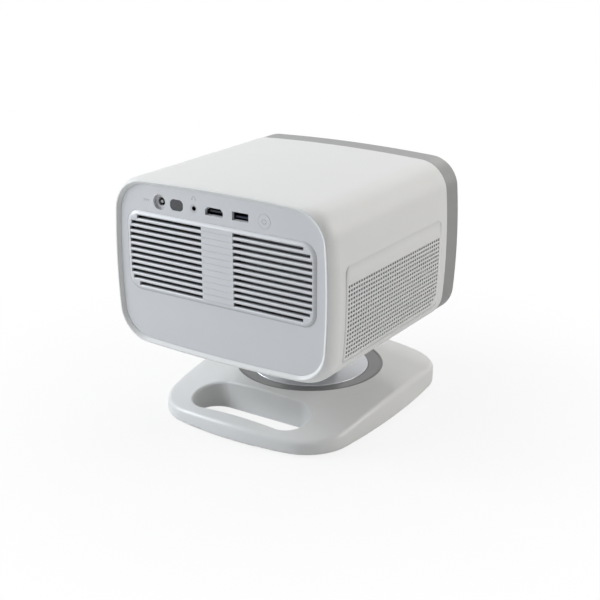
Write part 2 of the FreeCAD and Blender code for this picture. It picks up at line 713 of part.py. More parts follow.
nut_foot = "(boss_foot - clip_gap - clip_wall)"
spindle_foot = "(boss_foot - clip_gap - clip_wall - spindle_tip)"
spindle = rod("z", (0, 0, spindle_foot), "spindle_radius", f"disc_under + spindle_root - {spindle_foot}")
node(spindle, "swivel_spindle")
nut = tube("z", (0, 0, nut_foot), "clip_radius", "spindle_radius + screw_gap", "clip_wall")
node(nut, "spindle_nut")


# Neck and tilt hinge

ear_inside = "(knuckle_half + ear_washer)"
ear_outside = "(knuckle_half + ear_washer + ear_wall)"


def make_neck():
    neck_profile = [
        (0, "0"),
        ("neck_foot + neck_round / 2", "0"),
        ("neck_foot", "neck_round / 2"),
        ("neck_top + (neck_foot - neck_top) / 3", "neck_round * 2"),
        ("neck_top", f"shoulder - {disc_top} - 2"),
        ("neck_top - 2", f"shoulder - {disc_top}"),
        (0, f"shoulder - {disc_top}"),
    ]
    column = revolved(neck_profile, (0, 0, disc_top))
    low = amount(disc_top) + 1
    high = amount("shoulder") - 1
    column = rounded(column, value["neck_blend"], lambda edge: low < edge.BoundBox.ZMin < high)
    column = rounded(column, value["neck_edge"], lambda edge: edge.BoundBox.ZMin > high)
    ears = []
    for span in ((ear_inside, ear_outside), (f"-{ear_outside}", f"-{ear_inside}")):
        ears.append(box(span, ("-knuckle_radius", "knuckle_radius"), ("shoulder - 1", "tilt_height")))
        ears.append(rod("x", (span[0], 0, "tilt_height"), "knuckle_radius", "ear_wall"))
    pin_hole = rod("x", (f"-{ear_outside}", 0, "tilt_height"), "pin_radius + screw_gap", f"2 * {ear_outside}")
    holes = at_neck_screws("case_screw + screw_gap", disc_top, f"{disc_top} + 5 * case_screw")
    return cut(fuse(column, *ears), pin_hole, *holes)


node(make_neck(), "neck")

neck_heads = at_neck_screws("screw_head", "disc_under", "disc_under + head_thick")
neck_shanks = at_neck_screws("case_screw", "disc_under + head_thick", f"{disc_top} + 4.5 * case_screw")
node(group(*[fuse(head, shank) for head, shank in zip(neck_heads, neck_shanks)]), "neck_screws")

tilt_pin = rod("x", (f"-{ear_outside}", 0, "tilt_height"), "pin_radius", f"2 * {ear_outside}")
node(tilt_pin, "tilt_pin")

friction_washers = [
    tube("x", (start, 0, "tilt_height"), "knuckle_radius - fit_gap", "pin_radius + screw_gap", "ear_washer")
    for start in ("knuckle_half", "-(knuckle_half + ear_washer)")
]
node(group(*friction_washers), "friction_washers")

pad_spots = [
    (f"{side} * (pad_side - 2 * screw_head / 1.4)", f"{end} * (pad_length - 2 * screw_head / 1.4)")
    for side in (-1, 1)
    for end in (-1, 1)
]


def at_pad_screws(radius, low, high):
    """The same upright rod at each screw of the tilt bracket."""
    return [rod("z", (x, y, low), radius, f"({high}) - ({low})") for x, y in pad_spots]


pad_foot = "(head_bottom - pad_drop)"
pad_top = "(head_bottom + shell_wall)"


def make_bracket():
    pad = box(("-pad_side", "pad_side"), ("-pad_length", "pad_length"), (pad_foot, pad_top))
    web_along = ("-knuckle_radius", "knuckle_radius")
    web = box(("-knuckle_half", "knuckle_half"), web_along, ("tilt_height", pad_top))
    knuckle = rod("x", ("-knuckle_half", 0, "tilt_height"), "knuckle_radius", "2 * knuckle_half")
    hole = rod("x", ("-knuckle_half", 0, "tilt_height"), "pin_radius + run_gap", "2 * knuckle_half")
    heads = at_pad_screws("screw_head + fit_gap", "0", f"{pad_foot} + head_thick")
    holes = at_pad_screws("case_screw + fit_gap", "0", f"{pad_top} + 1")
    return cut(fuse(pad, web, knuckle), hole, *heads, *holes)


node(make_bracket(), "tilt_bracket")

pad_heads = at_pad_screws("screw_head", pad_foot, f"{pad_foot} + head_thick")
pad_shanks = at_pad_screws("case_screw", f"{pad_foot} + head_thick", f"{pad_top} + 2 * case_screw")
node(group(*[fuse(head, shank) for head, shank in zip(pad_heads, pad_shanks)]), "bracket_screws")


# Casing of the head

def is_rear_rim(outer):
    """A test for the casing's outer or inner edge loop at the rear rim."""
    place = value["head_rear_reach"] + (value["base_front_reach"] - value["head_rear_reach"]) / 2
    in_plane = flat_at("Y", place)
    limit = value["shell_wall"] / 2

    half = value["rim_width"] / 2
    rise = value["rim_height"] / 2
    middle = value["rim_bottom"] + rise
    corner = value["rim_corner"]

    def chosen(edge):
        point = edge.valueAt((edge.FirstParameter + edge.LastParameter) / 2)
        across = half - abs(point.x)
        upward = rise - abs(point.z - middle)
        inward = min(across, upward)
        if across + upward < 2 * corner * 0.293 + 3 * limit:
            inward = corner - math.hypot(corner - across, corner - upward)
        return in_plane(edge) and (inward < limit) == outer

    return chosen


window_rear = "grille_rear"
window_front = "-grille_front"


def side_window(side, shrink):
    """The block that cuts a side grille's window, moved in by an amount."""
    reach = "grille_reach" if shrink == "0" else f"grille_reach - ({shrink})"
    span = (reach, "half_width + 1") if side > 0 else ("-half_width - 1", f"-({reach})")
    lengthwise = (f"{window_front} + {shrink}", f"{window_rear} - {shrink}")
    block = box(span, lengthwise, (f"grille_foot + {shrink}", f"grille_top - {shrink}"))
    return rounded(block, value["grille_corner"], along("X"))


def rear_wire(share, place):
    """The casing's outline at one lengthwise place, narrowed by a share towards the rear rim."""
    block = casing_block(share, [], f"{place} - 1", place)
    doc.recompute()
    in_plane = flat_at("Y", amount(f"{place} + axis_y"))
    wire = next(face.OuterWire for face in block.Shape.Faces if in_plane(face))
    doc.removeObject(block.Name)
    return wire


def make_casing_outside():
    """The casing as a solid block: straight, then softly narrowed to its rear rim."""
    steps = [
        (0, "head_rear_reach - roll_length"),
        (value["roll_share"], "head_rear_reach - roll_length / 2"),
        (1, "head_rear_reach"),
    ]
    roll = doc.addObject("Part::Feature", "Roll")
    roll.Shape = Part.makeLoft([rear_wire(share, place) for share, place in steps], True, False)
    return fuse(head_block([], "ring_back", "head_rear_reach - roll_length"), roll)


casing_outside = make_casing_outside()


def make_shell():
    solid = casing_outside
    inside = head_block(["shell_wall"], "ring_back - 1", "panel_back - ledge_wall")
    mouth = rim_block(["shell_wall", "panel_ledge"], "ring_back - 1", "panel_back + 1")
    recess = rim_block(["shell_wall"], "panel_back", "head_rear_reach + 1")
    skin = head_block(["grille_wall"], "ring_back - 1", "head_rear_reach + 1")
    rebates = [cut(side_window(side, "0"), skin) for side in (-1, 1)]
    windows = [side_window(side, "grille_land") for side in (-1, 1)]
    pad_across = ("-pad_side - fit_gap", "pad_side + fit_gap")
    pad_along = ("-pad_length - fit_gap", "pad_length + fit_gap")
    pad = box(pad_across, pad_along, ("0", "head_middle"))
    tube = cut(solid, inside, mouth, recess)
    tube = rounded(tube, value["rim_round"], is_rear_rim(True))
    tube = bevelled(tube, value["rim_bevel"], is_rear_rim(False))
    return cut(tube, pad, *rebates, *windows)


node(make_shell(), "head_shell")

grille_skin = cut(casing_outside, head_block(["grille_wall"], "ring_back - 1", "head_rear_reach + 1"))
for side, name in ((1, "side_grille_left"), (-1, "side_grille_right")):
    node(common(grille_skin, side_window(side, "fit_gap")), name)


def make_ring():
    outside = head_block(["ring_step"], "head_front", "ring_back")
    outside = rounded(outside, value["ring_round"], flat_at("Y", amount("head_front + axis_y")))
    spigot = head_block(["shell_wall", "fit_gap"], "ring_back - 1", "ring_back + ring_lap")
    end = "ring_back + ring_lap + 1"
    opening = head_block(["ring_step", "ring_wall", "ring_wall"], "head_front - 1", end)
    recess = head_block(["ring_step", "ring_wall"], "head_front - 1", "front_back")
    return cut(fuse(outside, spigot), opening, recess)


node(make_ring(), "front_ring")


def sensor_window(grow):
    """The sensor window's block, grown by an amount, through the front panel."""
    across = (f"window_place - window_width / 2 - ({grow})", f"window_place + window_width / 2 + ({grow})")
    upward = (f"lens_line - window_height / 2 - ({grow})", f"lens_line + window_height / 2 + ({grow})")
    return box(across, ("front_face", "front_back"), upward)


def make_front_panel():
    plate = head_block(["ring_step", "ring_wall", "fit_gap"], "front_face", "front_back")
    flare = taper("y", (0, "front_face", "lens_line"), "front_flare", "front_hole", "front_wall")
    return cut(plate, flare, sensor_window("fit_gap"))


node(make_front_panel(), "front_panel")
node(sensor_window("0"), "camera_window")


# Rear panel

def vent_outline(grow, start, end):
    """The louvre insert's rounded outline, grown by an amount, between two lengthwise places."""
    across = (f"-(vent_width / 2 + {grow})", f"vent_width / 2 + {grow}")
    upward = (f"vent_middle - vent_height / 2 - {grow}", f"vent_middle + vent_height / 2 + {grow}")
    return rounded(box(across, (start, end), upward), value["vent_corner"], along("Y"))


def port_block(place, width, height, grow, start, end, line="port_line"):
    """A rectangular block round a socket's axis, grown by an amount."""
    across = (f"{place} - {width} / 2 - {grow}", f"{place} + {width} / 2 + {grow}")
    upward = (f"{line} - {height} / 2 - {grow}", f"{line} + {height} / 2 + {grow}")
    return box(across, (start, end), upward)


def video_block(grow, start, end):
    """The video socket's block, whose upper corners are cut off."""
    block = port_block("video_place", "video_width", "video_height", grow, start, end)
    upper = value["port_line"] + value["video_height"] / 4
    straight = along("Y")
    return bevelled(block, value["video_bevel"], lambda edge: straight(edge) and edge.BoundBox.ZMin > upper)


def data_block(grow, start, end):
    return port_block("data_place", "data_width", "data_height", grow, start, end)


def remote_window(grow, start, end):
    block = port_block("ir_place", "ir_width", "ir_height", grow, start, end)
    return rounded(block, value["ir_corner"], along("Y"))


def make_rear_panel():
    plate = rim_block(["shell_wall", "fit_gap"], "panel_back", "panel_face")
    through = ("panel_back - 1", "panel_face + 1")
    vent = vent_outline("fit_gap", *through)
    round_holes = {
        "dc_place": "dc_rim",
        "audio_place": "audio_body + fit_gap",
        "button_place": "button_radius + button_gap",
    }
    holes = [
        rod("y", (place, "panel_back - 1", "port_line"), radius, "panel_wall + 2")
        for place, radius in round_holes.items()
    ]
    holes += [
        video_block("fit_gap", *through),
        data_block("fit_gap", *through),
        remote_window("fit_gap", *through),
    ]
    return cut(plate, vent, *holes)


node(make_rear_panel(), "rear_panel")
node(remote_window("0", "panel_back", "panel_face - fit_gap"), "ir_window")


def is_slat_edge(front):
    """A test for the long front edges of the louvre slots."""
    in_front = flat_at("Y", front)
    straight = along("X")
    most = value["slat_outer"] - value["slat_inner"] + 1
    least = most / 2
    return lambda edge: in_front(edge) and straight(edge) and least < edge.Length < most


def sloped(piece, front):
    """Bevel the louvre insert's front edge, wider across than it is deep."""
    doc.recompute()
    chosen = flat_at("Y", front)
    chamfer = doc.addObject("Part::Chamfer", "Sloped")
    chamfer.Base = piece
    numbers = [i for i, edge in enumerate(piece.Shape.Edges, 1) if chosen(edge)]
    chamfer.Edges = [(i, value["vent_proud"], value["vent_bevel"]) for i in numbers]
    return chamfer


def slat_reach(row):
    """How far out a row of louvre slots goes. The end rows stop short of the insert's round corners."""
    corner = value["vent_corner"]
    rise = abs(row - (value["slat_count"] - 1) / 2) * value["slat_pitch"] + value["slat_gap"] / 2
    over = rise - (value["vent_height"] / 2 - value["slat_margin"] - corner)
    return value["slat_outer"] - corner + math.sqrt(corner**2 - max(over, 0) ** 2)


def make_vent():
    plate = vent_outline("0", "panel_back - flange_wall", "panel_face + vent_proud")
    front = amount("panel_face + vent_proud + axis_y")
    plate = sloped(plate, front)
    flange = vent_outline("vent_flange", "panel_back - flange_wall", "panel_back")
    slots = []
    for row in range(value["slat_count"]):
        middle = f"vent_middle + ({row} - (slat_count - 1) / 2) * slat_pitch"
        upward = (f"{middle} - slat_gap / 2", f"{middle} + slat_gap / 2")
        reach = round(slat_reach(row), 2)
        for across in (("slat_inner", reach), (-reach, "-slat_inner")):
            slots.append(box(across, ("panel_back - flange_wall - 1", "panel_face + vent_proud + 1"), upward))
    louvre = cut(fuse(plate, flange), *slots)
    louvre = rounded(louvre, value["slat_round"], is_slat_edge(front))
    grooves = []
    for row in range(value["slat_count"]):
        foot = f"vent_middle + ({row} - (slat_count - 1) / 2) * slat_pitch - slat_gap / 2"
        upward = (f"{foot} - groove_width / 2", f"{foot} + groove_width / 2")
        lengthwise = ("panel_face + vent_proud - groove_deep", "panel_face + vent_proud + 1")
        grooves.append(box(("-slat_inner + slat_round", "slat_inner - slat_round"), lengthwise, upward))
    return cut(louvre, *grooves)


node(make_vent(), "vent_insert")


# Chassis, main board and sockets

def make_tray():
    front = "ring_back + ring_lap + tray_end_gap"
    block = head_block(["shell_wall", "fit_gap"], front, "panel_back - ledge_wall - tray_end_gap")
    low_half = box(("-half_width", "half_width"), ("-head_depth", "head_depth"), ("0", "tray_top"))
    holes = at_pad_screws("case_screw + screw_gap", "0", f"{pad_top} + 2 * case_screw + fit_gap")
    return cut(common(block, low_half), *holes)


node(make_tray(), "chassis_tray")
board_along = ("-board_front", "board_end")
board = box(("-board_side", "board_side"), board_along, ("board_under", "board_face"))
node(board, "main_board")

post_spots = [(x, y) for x in ("-post_side", "post_side") for y in ("-post_front", "post_rear")]
posts = [rod("z", (x, y, "tray_top"), "post_radius", "board_under - tray_top") for x, y in post_spots]
node(group(*posts), "board_posts")


def round_socket(place, collar, bore, deep, sunk):
    """A socket with a round collar in the rear panel and a block on the main board."""
    mouth = f"panel_face - {sunk}"
    back = f"{mouth} - jack_body"
    across = (f"{place} - jack_side", f"{place} + jack_side")
    block = box(across, (back, "panel_back - fit_gap"), ("board_face", "port_line + jack_rise"))
    neck_rod = rod("y", (place, back, "port_line"), collar, "jack_body")
    hole = rod("y", (place, f"{mouth} - {deep}", "port_line"), bore, f"{deep} + 1")
    beside = (f"{place} - 2 * jack_side", f"{place} + 2 * jack_side")
    below = box(beside, (f"{back} - 1", "board_end + fit_gap"), ("0", "board_face"))
    return cut(fuse(block, cut(neck_rod, below)), hole)


dc_mouth = "panel_face - dc_sunk"
dc_body = round_socket("dc_place", "dc_rim - fit_gap", "dc_bore", "dc_deep", "dc_sunk")
lead_spot = ("dc_place", f"{dc_mouth} - dc_lead", "port_line")
dc_body = cut(dc_body, taper("y", lead_spot, "dc_bore", "dc_bore + dc_lead", "dc_lead"))
dc_tip = rod("y", ("dc_place", "panel_face - dc_sunk - dc_deep - 1", "port_line"), "dc_pin", "dc_deep")
node(fuse(dc_body, dc_tip), "dc_jack")
node(round_socket("audio_place", "audio_body", "audio_bore", "audio_deep", "0.1"), "audio_jack")


def metal_socket(block, tongue):
    """A sheet metal socket on the main board with a tongue inside."""
    mouth = "panel_face - socket_sunk"
    back = f"{mouth} - socket_deep"
    shell = cut(block("0", back, mouth), block("-socket_wall", f"{back} + socket_wall", f"{mouth} + 1"))
    return fuse(shell, tongue(f"{back} + socket_wall / 2", f"{mouth} - tongue_sunk"))


def socket_foot(place, width, height):
    """The block between a socket and the main board."""
    back = "panel_face - socket_sunk - socket_deep"
    across = (f"{place} - {width} / 4", f"{place} + {width} / 4")
    return box(across, (back, "board_end"), ("board_face", f"port_line - {height} / 2 + socket_wall / 2"))


def video_tongue(start, end):
    return port_block("video_place", "video_width * 0.7", "tongue_thick", "0", start, end)


def data_tongue(start, end):
    line = "(port_line - data_height / 8)"
    return port_block("data_place", "data_width * 0.8", "tongue_thick", "0", start, end, line)


video = metal_socket(video_block, video_tongue)
node(fuse(video, socket_foot("video_place", "video_width", "video_height")), "video_socket")
data_shell = metal_socket(data_block, data_tongue)
node(fuse(data_shell, socket_foot("data_place", "data_width", "data_height")), "data_socket")


# Power button and remote receiver

cap_end = "(panel_face + button_proud)"
cap_start = "(panel_back - fit_gap)"
stem_end = "(panel_back - fit_gap - button_flange - stem_length)"


def at_button(start, radius, length):
    """A rod on the power button's axis."""
    return rod("y", ("button_place", start, "port_line"), radius, length)


def make_button():
    cap = at_button(cap_start, "button_radius", "panel_wall + button_proud + fit_gap")
    cap = rounded(cap, value["button_proud"], flat_at("Y", amount(f"{cap_end} + axis_y")))
    flange = at_button(f"{cap_start} - button_flange", "button_radius + button_flange", "button_flange")
    stem = at_button(stem_end, "button_stem", "stem_length")
    return fuse(cap, flange, stem)


def make_switch():
    across = ("button_place - switch_half", "button_place + switch_half")
    back = f"{stem_end} - button_travel - fit_gap"
    return box(across, (f"{back} - switch_deep", back), ("board_face", "port_line + switch_half"))


node(make_button(), "power_button")
node(make_switch(), "power_switch")
receiver_across = ("ir_place - receiver_half", "ir_place + receiver_half")
receiver_along = ("board_end - receiver_deep", "board_end")
node(box(receiver_across, receiver_along, ("board_face", "port_line + receiver_half")), "ir_receiver")


# Cooling

sink_front = "(sink_rear - sink_deep)"
pipe_x = "-(engine_side + led_deep)"
pipe_rows = ("lens_line - pipe_rise", "lens_line + pipe_rise")
led_low = "(lens_line - led_size / 2)"
led_high = "(lens_line + led_size / 2)"


def pipes(radius, end):
    """The two heat pipes from the lamp modules to the heat sink."""
    start = "(led_size / 4 - engine_front)"
    return [rod("y", (pipe_x, start, z), radius, f"({end}) - {start}") for z in pipe_rows]


def make_sink():
    width = "sink_outer - sink_inner"
    plate_along = (f"{sink_front} - sink_base", sink_front)
    plate = box(("-sink_outer", "-sink_inner"), plate_along, ("tray_top", "sink_top"))
    fins = []
    count = int(amount(f"({width}) / fin_pitch"))
    for i in range(count):
        start = f"-sink_inner - fin_wall - {i} * fin_pitch"
        fins.append(box((start, f"{start} + fin_wall"), (sink_front, "sink_rear"), ("sink_foot", "sink_top")))
    return cut(fuse(plate, *fins), *pipes("pipe_radius + screw_gap", sink_front))


node(make_sink(), "heat_sink")
node(group(*pipes("pipe_radius", f"{sink_front} - fit_gap")), "heat_pipes")


def make_lamps():
    lamps = []
    for i in range(3):
        middle = f"(engine_rear - engine_front) / 2 + {i - 1} * led_pitch"
        lengthwise = (f"{middle} - led_size / 2", f"{middle} + led_size / 2")
        block = box((pipe_x, "-engine_side"), lengthwise, (led_low, led_high))
        lamps.append(cut(block, *pipes("pipe_radius + screw_gap", sink_front)))
    return group(*lamps)


node(make_lamps(), "led_modules")

fan_front = "(fan_rear - fan_deep)"


def fan_rod(start, radius, length):
    """A rod on the fan's axis."""
    return rod("y", ("fan_place", start, "vent_middle"), radius, length)


def make_fan_frame():
    half = "fan_size / 2"
    upward = (f"vent_middle - {half}", f"vent_middle + {half}")
    sideward = (f"fan_place - {half}", f"fan_place + {half}")
    frame = box(sideward, (fan_front, "fan_rear"), upward)
    frame = cut(frame, fan_rod(f"{fan_front} - 1", "fan_bore", "fan_deep + 2"))
    spider = (fan_front, f"{fan_front} + fan_wall")
    across = box(sideward, spider, ("vent_middle - fan_arm / 2", "vent_middle + fan_arm / 2"))
    uprights = box(("fan_place - fan_arm / 2", "fan_place + fan_arm / 2"), spider, upward)
    hub = fan_rod(fan_front, "fan_hub", "fan_wall")
    leg_across = ("fan_place - fan_leg", "fan_place + fan_leg")
    leg = box(leg_across, (fan_front, "fan_rear"), ("tray_top", f"vent_middle - {half}"))
    bore = fan_rod(f"{fan_front} - 1", "fan_shaft + run_gap", "fan_wall + 2")
    return cut(fuse(frame, across, uprights, hub, leg), bore)


def make_rotor():
    hub = fan_rod(f"{fan_front} + fan_wall + blade_gap", "fan_hub", "fan_deep - fan_wall - 2 * blade_gap")
    shaft = fan_rod(f"{fan_front} + fit_gap", "fan_shaft", "fan_wall + 2 * blade_gap")
    blades = []
    centre = ("fan_place", f"{fan_front} + (fan_deep + fan_wall) / 2 + axis_y", "vent_middle")
    middle = FreeCAD.Vector(*[amount(place) for place in centre])
    for i in range(value["blade_count"]):
        blade = doc.addObject("Part::Box", "Blade")
        bind(blade, Length="fan_bore - blade_gap - fan_hub / 2", Width="blade_width", Height="blade_wall")
        start = FreeCAD.Vector(value["fan_hub"] / 2, -value["blade_width"] / 2, -value["blade_wall"] / 2)
        lean = FreeCAD.Rotation(FreeCAD.Vector(1, 0, 0), value["blade_turn"])
        around = FreeCAD.Rotation(FreeCAD.Vector(0, 1, 0), 360 * i / value["blade_count"])
        turn = around * lean
        blade.Placement = FreeCAD.Placement(middle + turn.multVec(start), turn)
        blades.append(blade)
    limit = fan_rod(fan_front, "fan_bore - blade_gap", "fan_deep")
    return common(fuse(hub, shaft, *blades), limit)


node(make_fan_frame(), "fan_housing")
node(make_rotor(), "fan_rotor")


# Light engine and lens

def lens_rod(start, radius, length):
    """A rod on the lens axis."""
    return rod("y", (0, start, "lens_line"), radius, length)


def make_engine():
    lengthwise = ("-engine_front", "engine_rear")
    outside = box(("-engine_side", "engine_side"), lengthwise, ("engine_foot", "engine_top"))
    inside_x = ("engine_wall - engine_side", "engine_side - engine_wall")
    inside_y = ("engine_wall - engine_front", "engine_rear - engine_wall")
    inside = box(inside_x, inside_y, ("engine_foot + engine_wall", "engine_top - engine_wall"))
    legs = []
    for x in ("leg_half - engine_side", "engine_side - leg_half"):
        for y in ("leg_half - engine_front", "engine_rear - leg_half"):
            across = (f"{x} - leg_half", f"{x} + leg_half")
            legs.append(box(across, (f"{y} - leg_half", f"{y} + leg_half"), ("tray_top", "engine_foot")))
    mouth = lens_rod("-engine_front - 1", "barrel_bore", "engine_wall + 2")
    return cut(fuse(outside, *legs), inside, mouth)


node(make_engine(), "optical_housing")
chip_z = ("lens_line - chip_side", "lens_line + chip_side")
node(box(("-chip_side", "chip_side"), ("engine_rear", "engine_rear + board_wall"), chip_z), "imaging_board")
barrel_length = "barrel_front - engine_front"
barrel = tube("y", (0, "-barrel_front", "lens_line"), "barrel_radius", "barrel_bore", barrel_length)
node(barrel, "lens_barrel")
node(lens_rod("-barrel_front + lip_wall", "barrel_bore - screw_gap", "glass_thick"), "rear_lens")

cell_rear = "(cell_length - cell_front)"


def make_cell():
    outside = lens_rod("-cell_front", "barrel_radius + run_gap + cell_wall", "cell_length")
    seat = lens_rod("-cell_front - 1", "barrel_radius + run_gap", "glass_thick + 1")
    lip = lens_rod("-cell_front", "barrel_radius + run_gap - cell_lip", "cell_length")
    sleeve_start = "-cell_front + glass_thick + lip_wall"
    sleeve = lens_rod(sleeve_start, "barrel_radius + run_gap", "cell_length")
    arm_z = ("lens_line - arm_half", "lens_line + arm_half")
    arm_x = ("barrel_radius + cell_wall / 2", "plunger_place + arm_half")
    arm_start = f"{cell_rear} - arm_half"
    arm = box(arm_x, (arm_start, cell_rear), arm_z)
    plunger_spot = ("plunger_place", arm_start, "lens_line")
    plunger = rod("y", plunger_spot, "plunger_radius", "plunger_length + arm_half")
    return cut(fuse(outside, arm, plunger), seat, lip, sleeve)


node(make_cell(), "focus_cell")


def make_glass():
    disc = lens_rod("-cell_front", "barrel_radius", "glass_thick")
    ball = doc.addObject("Part::Sphere", "Curve")
    bind(ball, Radius="glass_bulge")
    put(ball, 0, "glass_bulge - cell_front + fit_gap", "lens_line")
    return common(disc, ball)


node(make_glass(), "front_lens")
motor_spot = ("plunger_place", "-engine_front - motor_length", "lens_line")
motor = tube("y", motor_spot, "motor_radius", "plunger_radius + run_gap", "motor_length")
node(motor, "focus_motor")
camera_x = ("window_place - camera_half", "window_place + camera_half")
camera_z = ("lens_line - camera_half", "lens_line + camera_half")
node(box(camera_x, ("front_back", "front_back + camera_deep"), camera_z), "focus_camera")


# Speakers

speaker_middle_y = "(speaker_rear - speaker_front) / 2"
speaker_middle_z = "(speaker_foot + speaker_top) / 2"
box_back = "(speaker_inner + speaker_wall)"
cone_root = "(speaker_inner + speaker_wall + coil_inset + coil_length)"
rim_radius = "(cone_radius - cone_gap)"
coil_core = "(coil_radius - coil_wall)"


def sideways(body, side):
    """Turn a turned piece's axis outward to one side."""
    turn = FreeCAD.Rotation(FreeCAD.Vector(0, 1, 0), 90 * side)
    body.Placement = FreeCAD.Placement(FreeCAD.Vector(), turn)
    return body


def toward(side, start, end):
    """A sideways span counted outward from the middle."""
    return (start, end) if side > 0 else (f"-({end})", f"-({start})")


def make_speaker_box(side):
    lengthwise = ("-speaker_front", "speaker_rear")
    outside_x = toward(side, "speaker_inner", "baffle_place")
    outside = box(outside_x, lengthwise, ("speaker_foot", "speaker_top"))
    leg_x = toward(side, "speaker_inner", "speaker_leg")
    leg = box(leg_x, lengthwise, ("tray_top", "speaker_foot"))
    inside_y = ("speaker_wall - speaker_front", "speaker_rear - speaker_wall")
    inside_z = ("speaker_foot + speaker_wall", "speaker_top - speaker_wall")
    inside = box(toward(side, box_back, "baffle_place - speaker_wall"), inside_y, inside_z)
    start = "baffle_place - speaker_wall - 1" if side > 0 else "-baffle_place - 1"
    mouth = rod("x", (start, speaker_middle_y, speaker_middle_z), "cone_radius", "speaker_wall + 2")
    return cut(fuse(outside, leg), inside, mouth)


magnet_profile = [
    (0, "0"),
    ("magnet_radius", "0"),
    ("magnet_radius", "magnet_length"),
    ("coil_radius + coil_gap", "magnet_length"),
    ("coil_radius + coil_gap", "magnet_floor"),
    (f"{coil_core} - coil_gap", "magnet_floor"),
    (f"{coil_core} - coil_gap", "magnet_length"),
    (0, "magnet_length"),
]
cone_profile = [
    (0, "coil_length"),
    (coil_core, "coil_length"),
    (coil_core, "0"),
    ("coil_radius", "0"),
    ("coil_radius", "coil_length"),
    (rim_radius, "coil_length + cone_deep - cone_wall"),
    (rim_radius, "coil_length + cone_deep"),
    ("coil_radius", "coil_length + cone_wall"),
    (0, "coil_length + cone_wall"),
]
for side, word in ((1, "left"), (-1, "right")):
    node(make_speaker_box(side), f"speaker_box_{word}")
    sign = "" if side > 0 else "-"
    magnet_spot = (f"{sign}{box_back}", speaker_middle_y, speaker_middle_z)
    cone_spot = (f"{sign}({box_back} + coil_inset)", speaker_middle_y, speaker_middle_z)
    magnet = revolved(magnet_profile, magnet_spot)
    node(put(sideways(magnet, side), *magnet_spot), f"speaker_magnet_{word}")
    cone = revolved(cone_profile, cone_spot)
    node(put(sideways(cone, side), *cone_spot), f"speaker_cone_{word}")


# Electronics on the boards

can_along = ("can_front", "can_front + 2 * can_half")
can = box(("-can_half", "can_half"), can_along, ("board_face", "board_face + can_high"))
node(can, "processor_cover")
radio_x = ("radio_place", "radio_place + radio_size")
radio_y = ("can_front", "can_front + radio_size")
radio = box(radio_x, radio_y, ("board_face", "board_face + radio_high"))
node(radio, "wireless_module")
driver_y = ("driver_front", "driver_rear")
driver_top = "tray_top + board_wall"
driver = box(("-driver_side", "driver_side"), driver_y, ("tray_top", driver_top))
drums = []
for i in (-1, 0, 1):
    spot = (f"{i} * driver_side / 2", "(driver_front + driver_rear) / 2", driver_top)
    drums.append(rod("z", spot, "drum_radius", "drum_high"))
node(fuse(driver, *drums), "driver_board")


# Finish: check every piece and write its file

sheet.clear("D1")
doc.recompute()
for piece in doc.Objects:
    if "Invalid" in piece.State or "Error" in piece.State:
        raise RuntimeError(f"{piece.Label} did not rebuild")
os.makedirs("parts", exist_ok=True)
for piece in nodes:
    if piece.Shape.isNull() or not piece.Shape.isValid():
        raise RuntimeError(f"{piece.Label} has no valid shape")
    piece.Shape.exportStep(f"parts/{piece.Label}.step")
print(len(nodes), "pieces written")
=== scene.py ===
import json
import math

import bmesh
import bpy
from mathutils import Matrix, Vector

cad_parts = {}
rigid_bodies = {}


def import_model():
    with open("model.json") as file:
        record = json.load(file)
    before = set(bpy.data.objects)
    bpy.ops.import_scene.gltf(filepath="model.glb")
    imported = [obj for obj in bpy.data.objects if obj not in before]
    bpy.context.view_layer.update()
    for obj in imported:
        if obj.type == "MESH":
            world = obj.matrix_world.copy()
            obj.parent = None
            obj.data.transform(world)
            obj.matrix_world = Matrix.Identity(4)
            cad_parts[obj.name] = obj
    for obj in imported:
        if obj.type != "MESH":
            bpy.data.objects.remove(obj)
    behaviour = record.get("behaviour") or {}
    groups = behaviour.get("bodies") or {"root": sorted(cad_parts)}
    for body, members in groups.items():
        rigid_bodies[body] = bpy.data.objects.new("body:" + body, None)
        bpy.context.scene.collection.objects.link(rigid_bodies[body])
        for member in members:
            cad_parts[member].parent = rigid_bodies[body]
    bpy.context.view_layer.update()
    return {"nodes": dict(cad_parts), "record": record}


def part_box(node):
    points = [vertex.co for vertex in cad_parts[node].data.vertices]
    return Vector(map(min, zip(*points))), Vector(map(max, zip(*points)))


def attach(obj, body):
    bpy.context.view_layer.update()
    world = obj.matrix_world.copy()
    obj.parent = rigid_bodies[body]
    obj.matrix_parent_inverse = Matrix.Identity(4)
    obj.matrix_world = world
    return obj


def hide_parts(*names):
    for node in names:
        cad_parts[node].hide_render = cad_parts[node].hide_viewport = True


for old in list(bpy.data.objects):  # the default cube, lamp and camera go first
    bpy.data.objects.remove(old)
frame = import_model()
nodes = frame["nodes"]
scene = bpy.context.scene
scene.view_settings.view_transform = "Standard"
print("frame loaded:", len(nodes), "nodes")

# camera

cameraValues = {
    "place": (-0.48666, 0.74231, 0.40289),
    "look": (0.5162, -0.7861, -0.34),
    "lens": 72.55,
    "sensor": 36,
    "near": 0.01,
    "far": 20,
}
cameraData = bpy.data.cameras.new("camera")
cameraData.lens = cameraValues["lens"]
cameraData.sensor_width = cameraValues["sensor"]
cameraData.clip_start = cameraValues["near"]
cameraData.clip_end = cameraValues["far"]
camera = bpy.data.objects.new("camera", cameraData)
camera.location = cameraValues["place"]
camera.rotation_euler = Vector(cameraValues["look"]).to_track_quat("-Z", "Y").to_euler()
scene.collection.objects.link(camera)
scene.camera = camera

# studio lamps, each a round softbox aimed at the middle of the projector

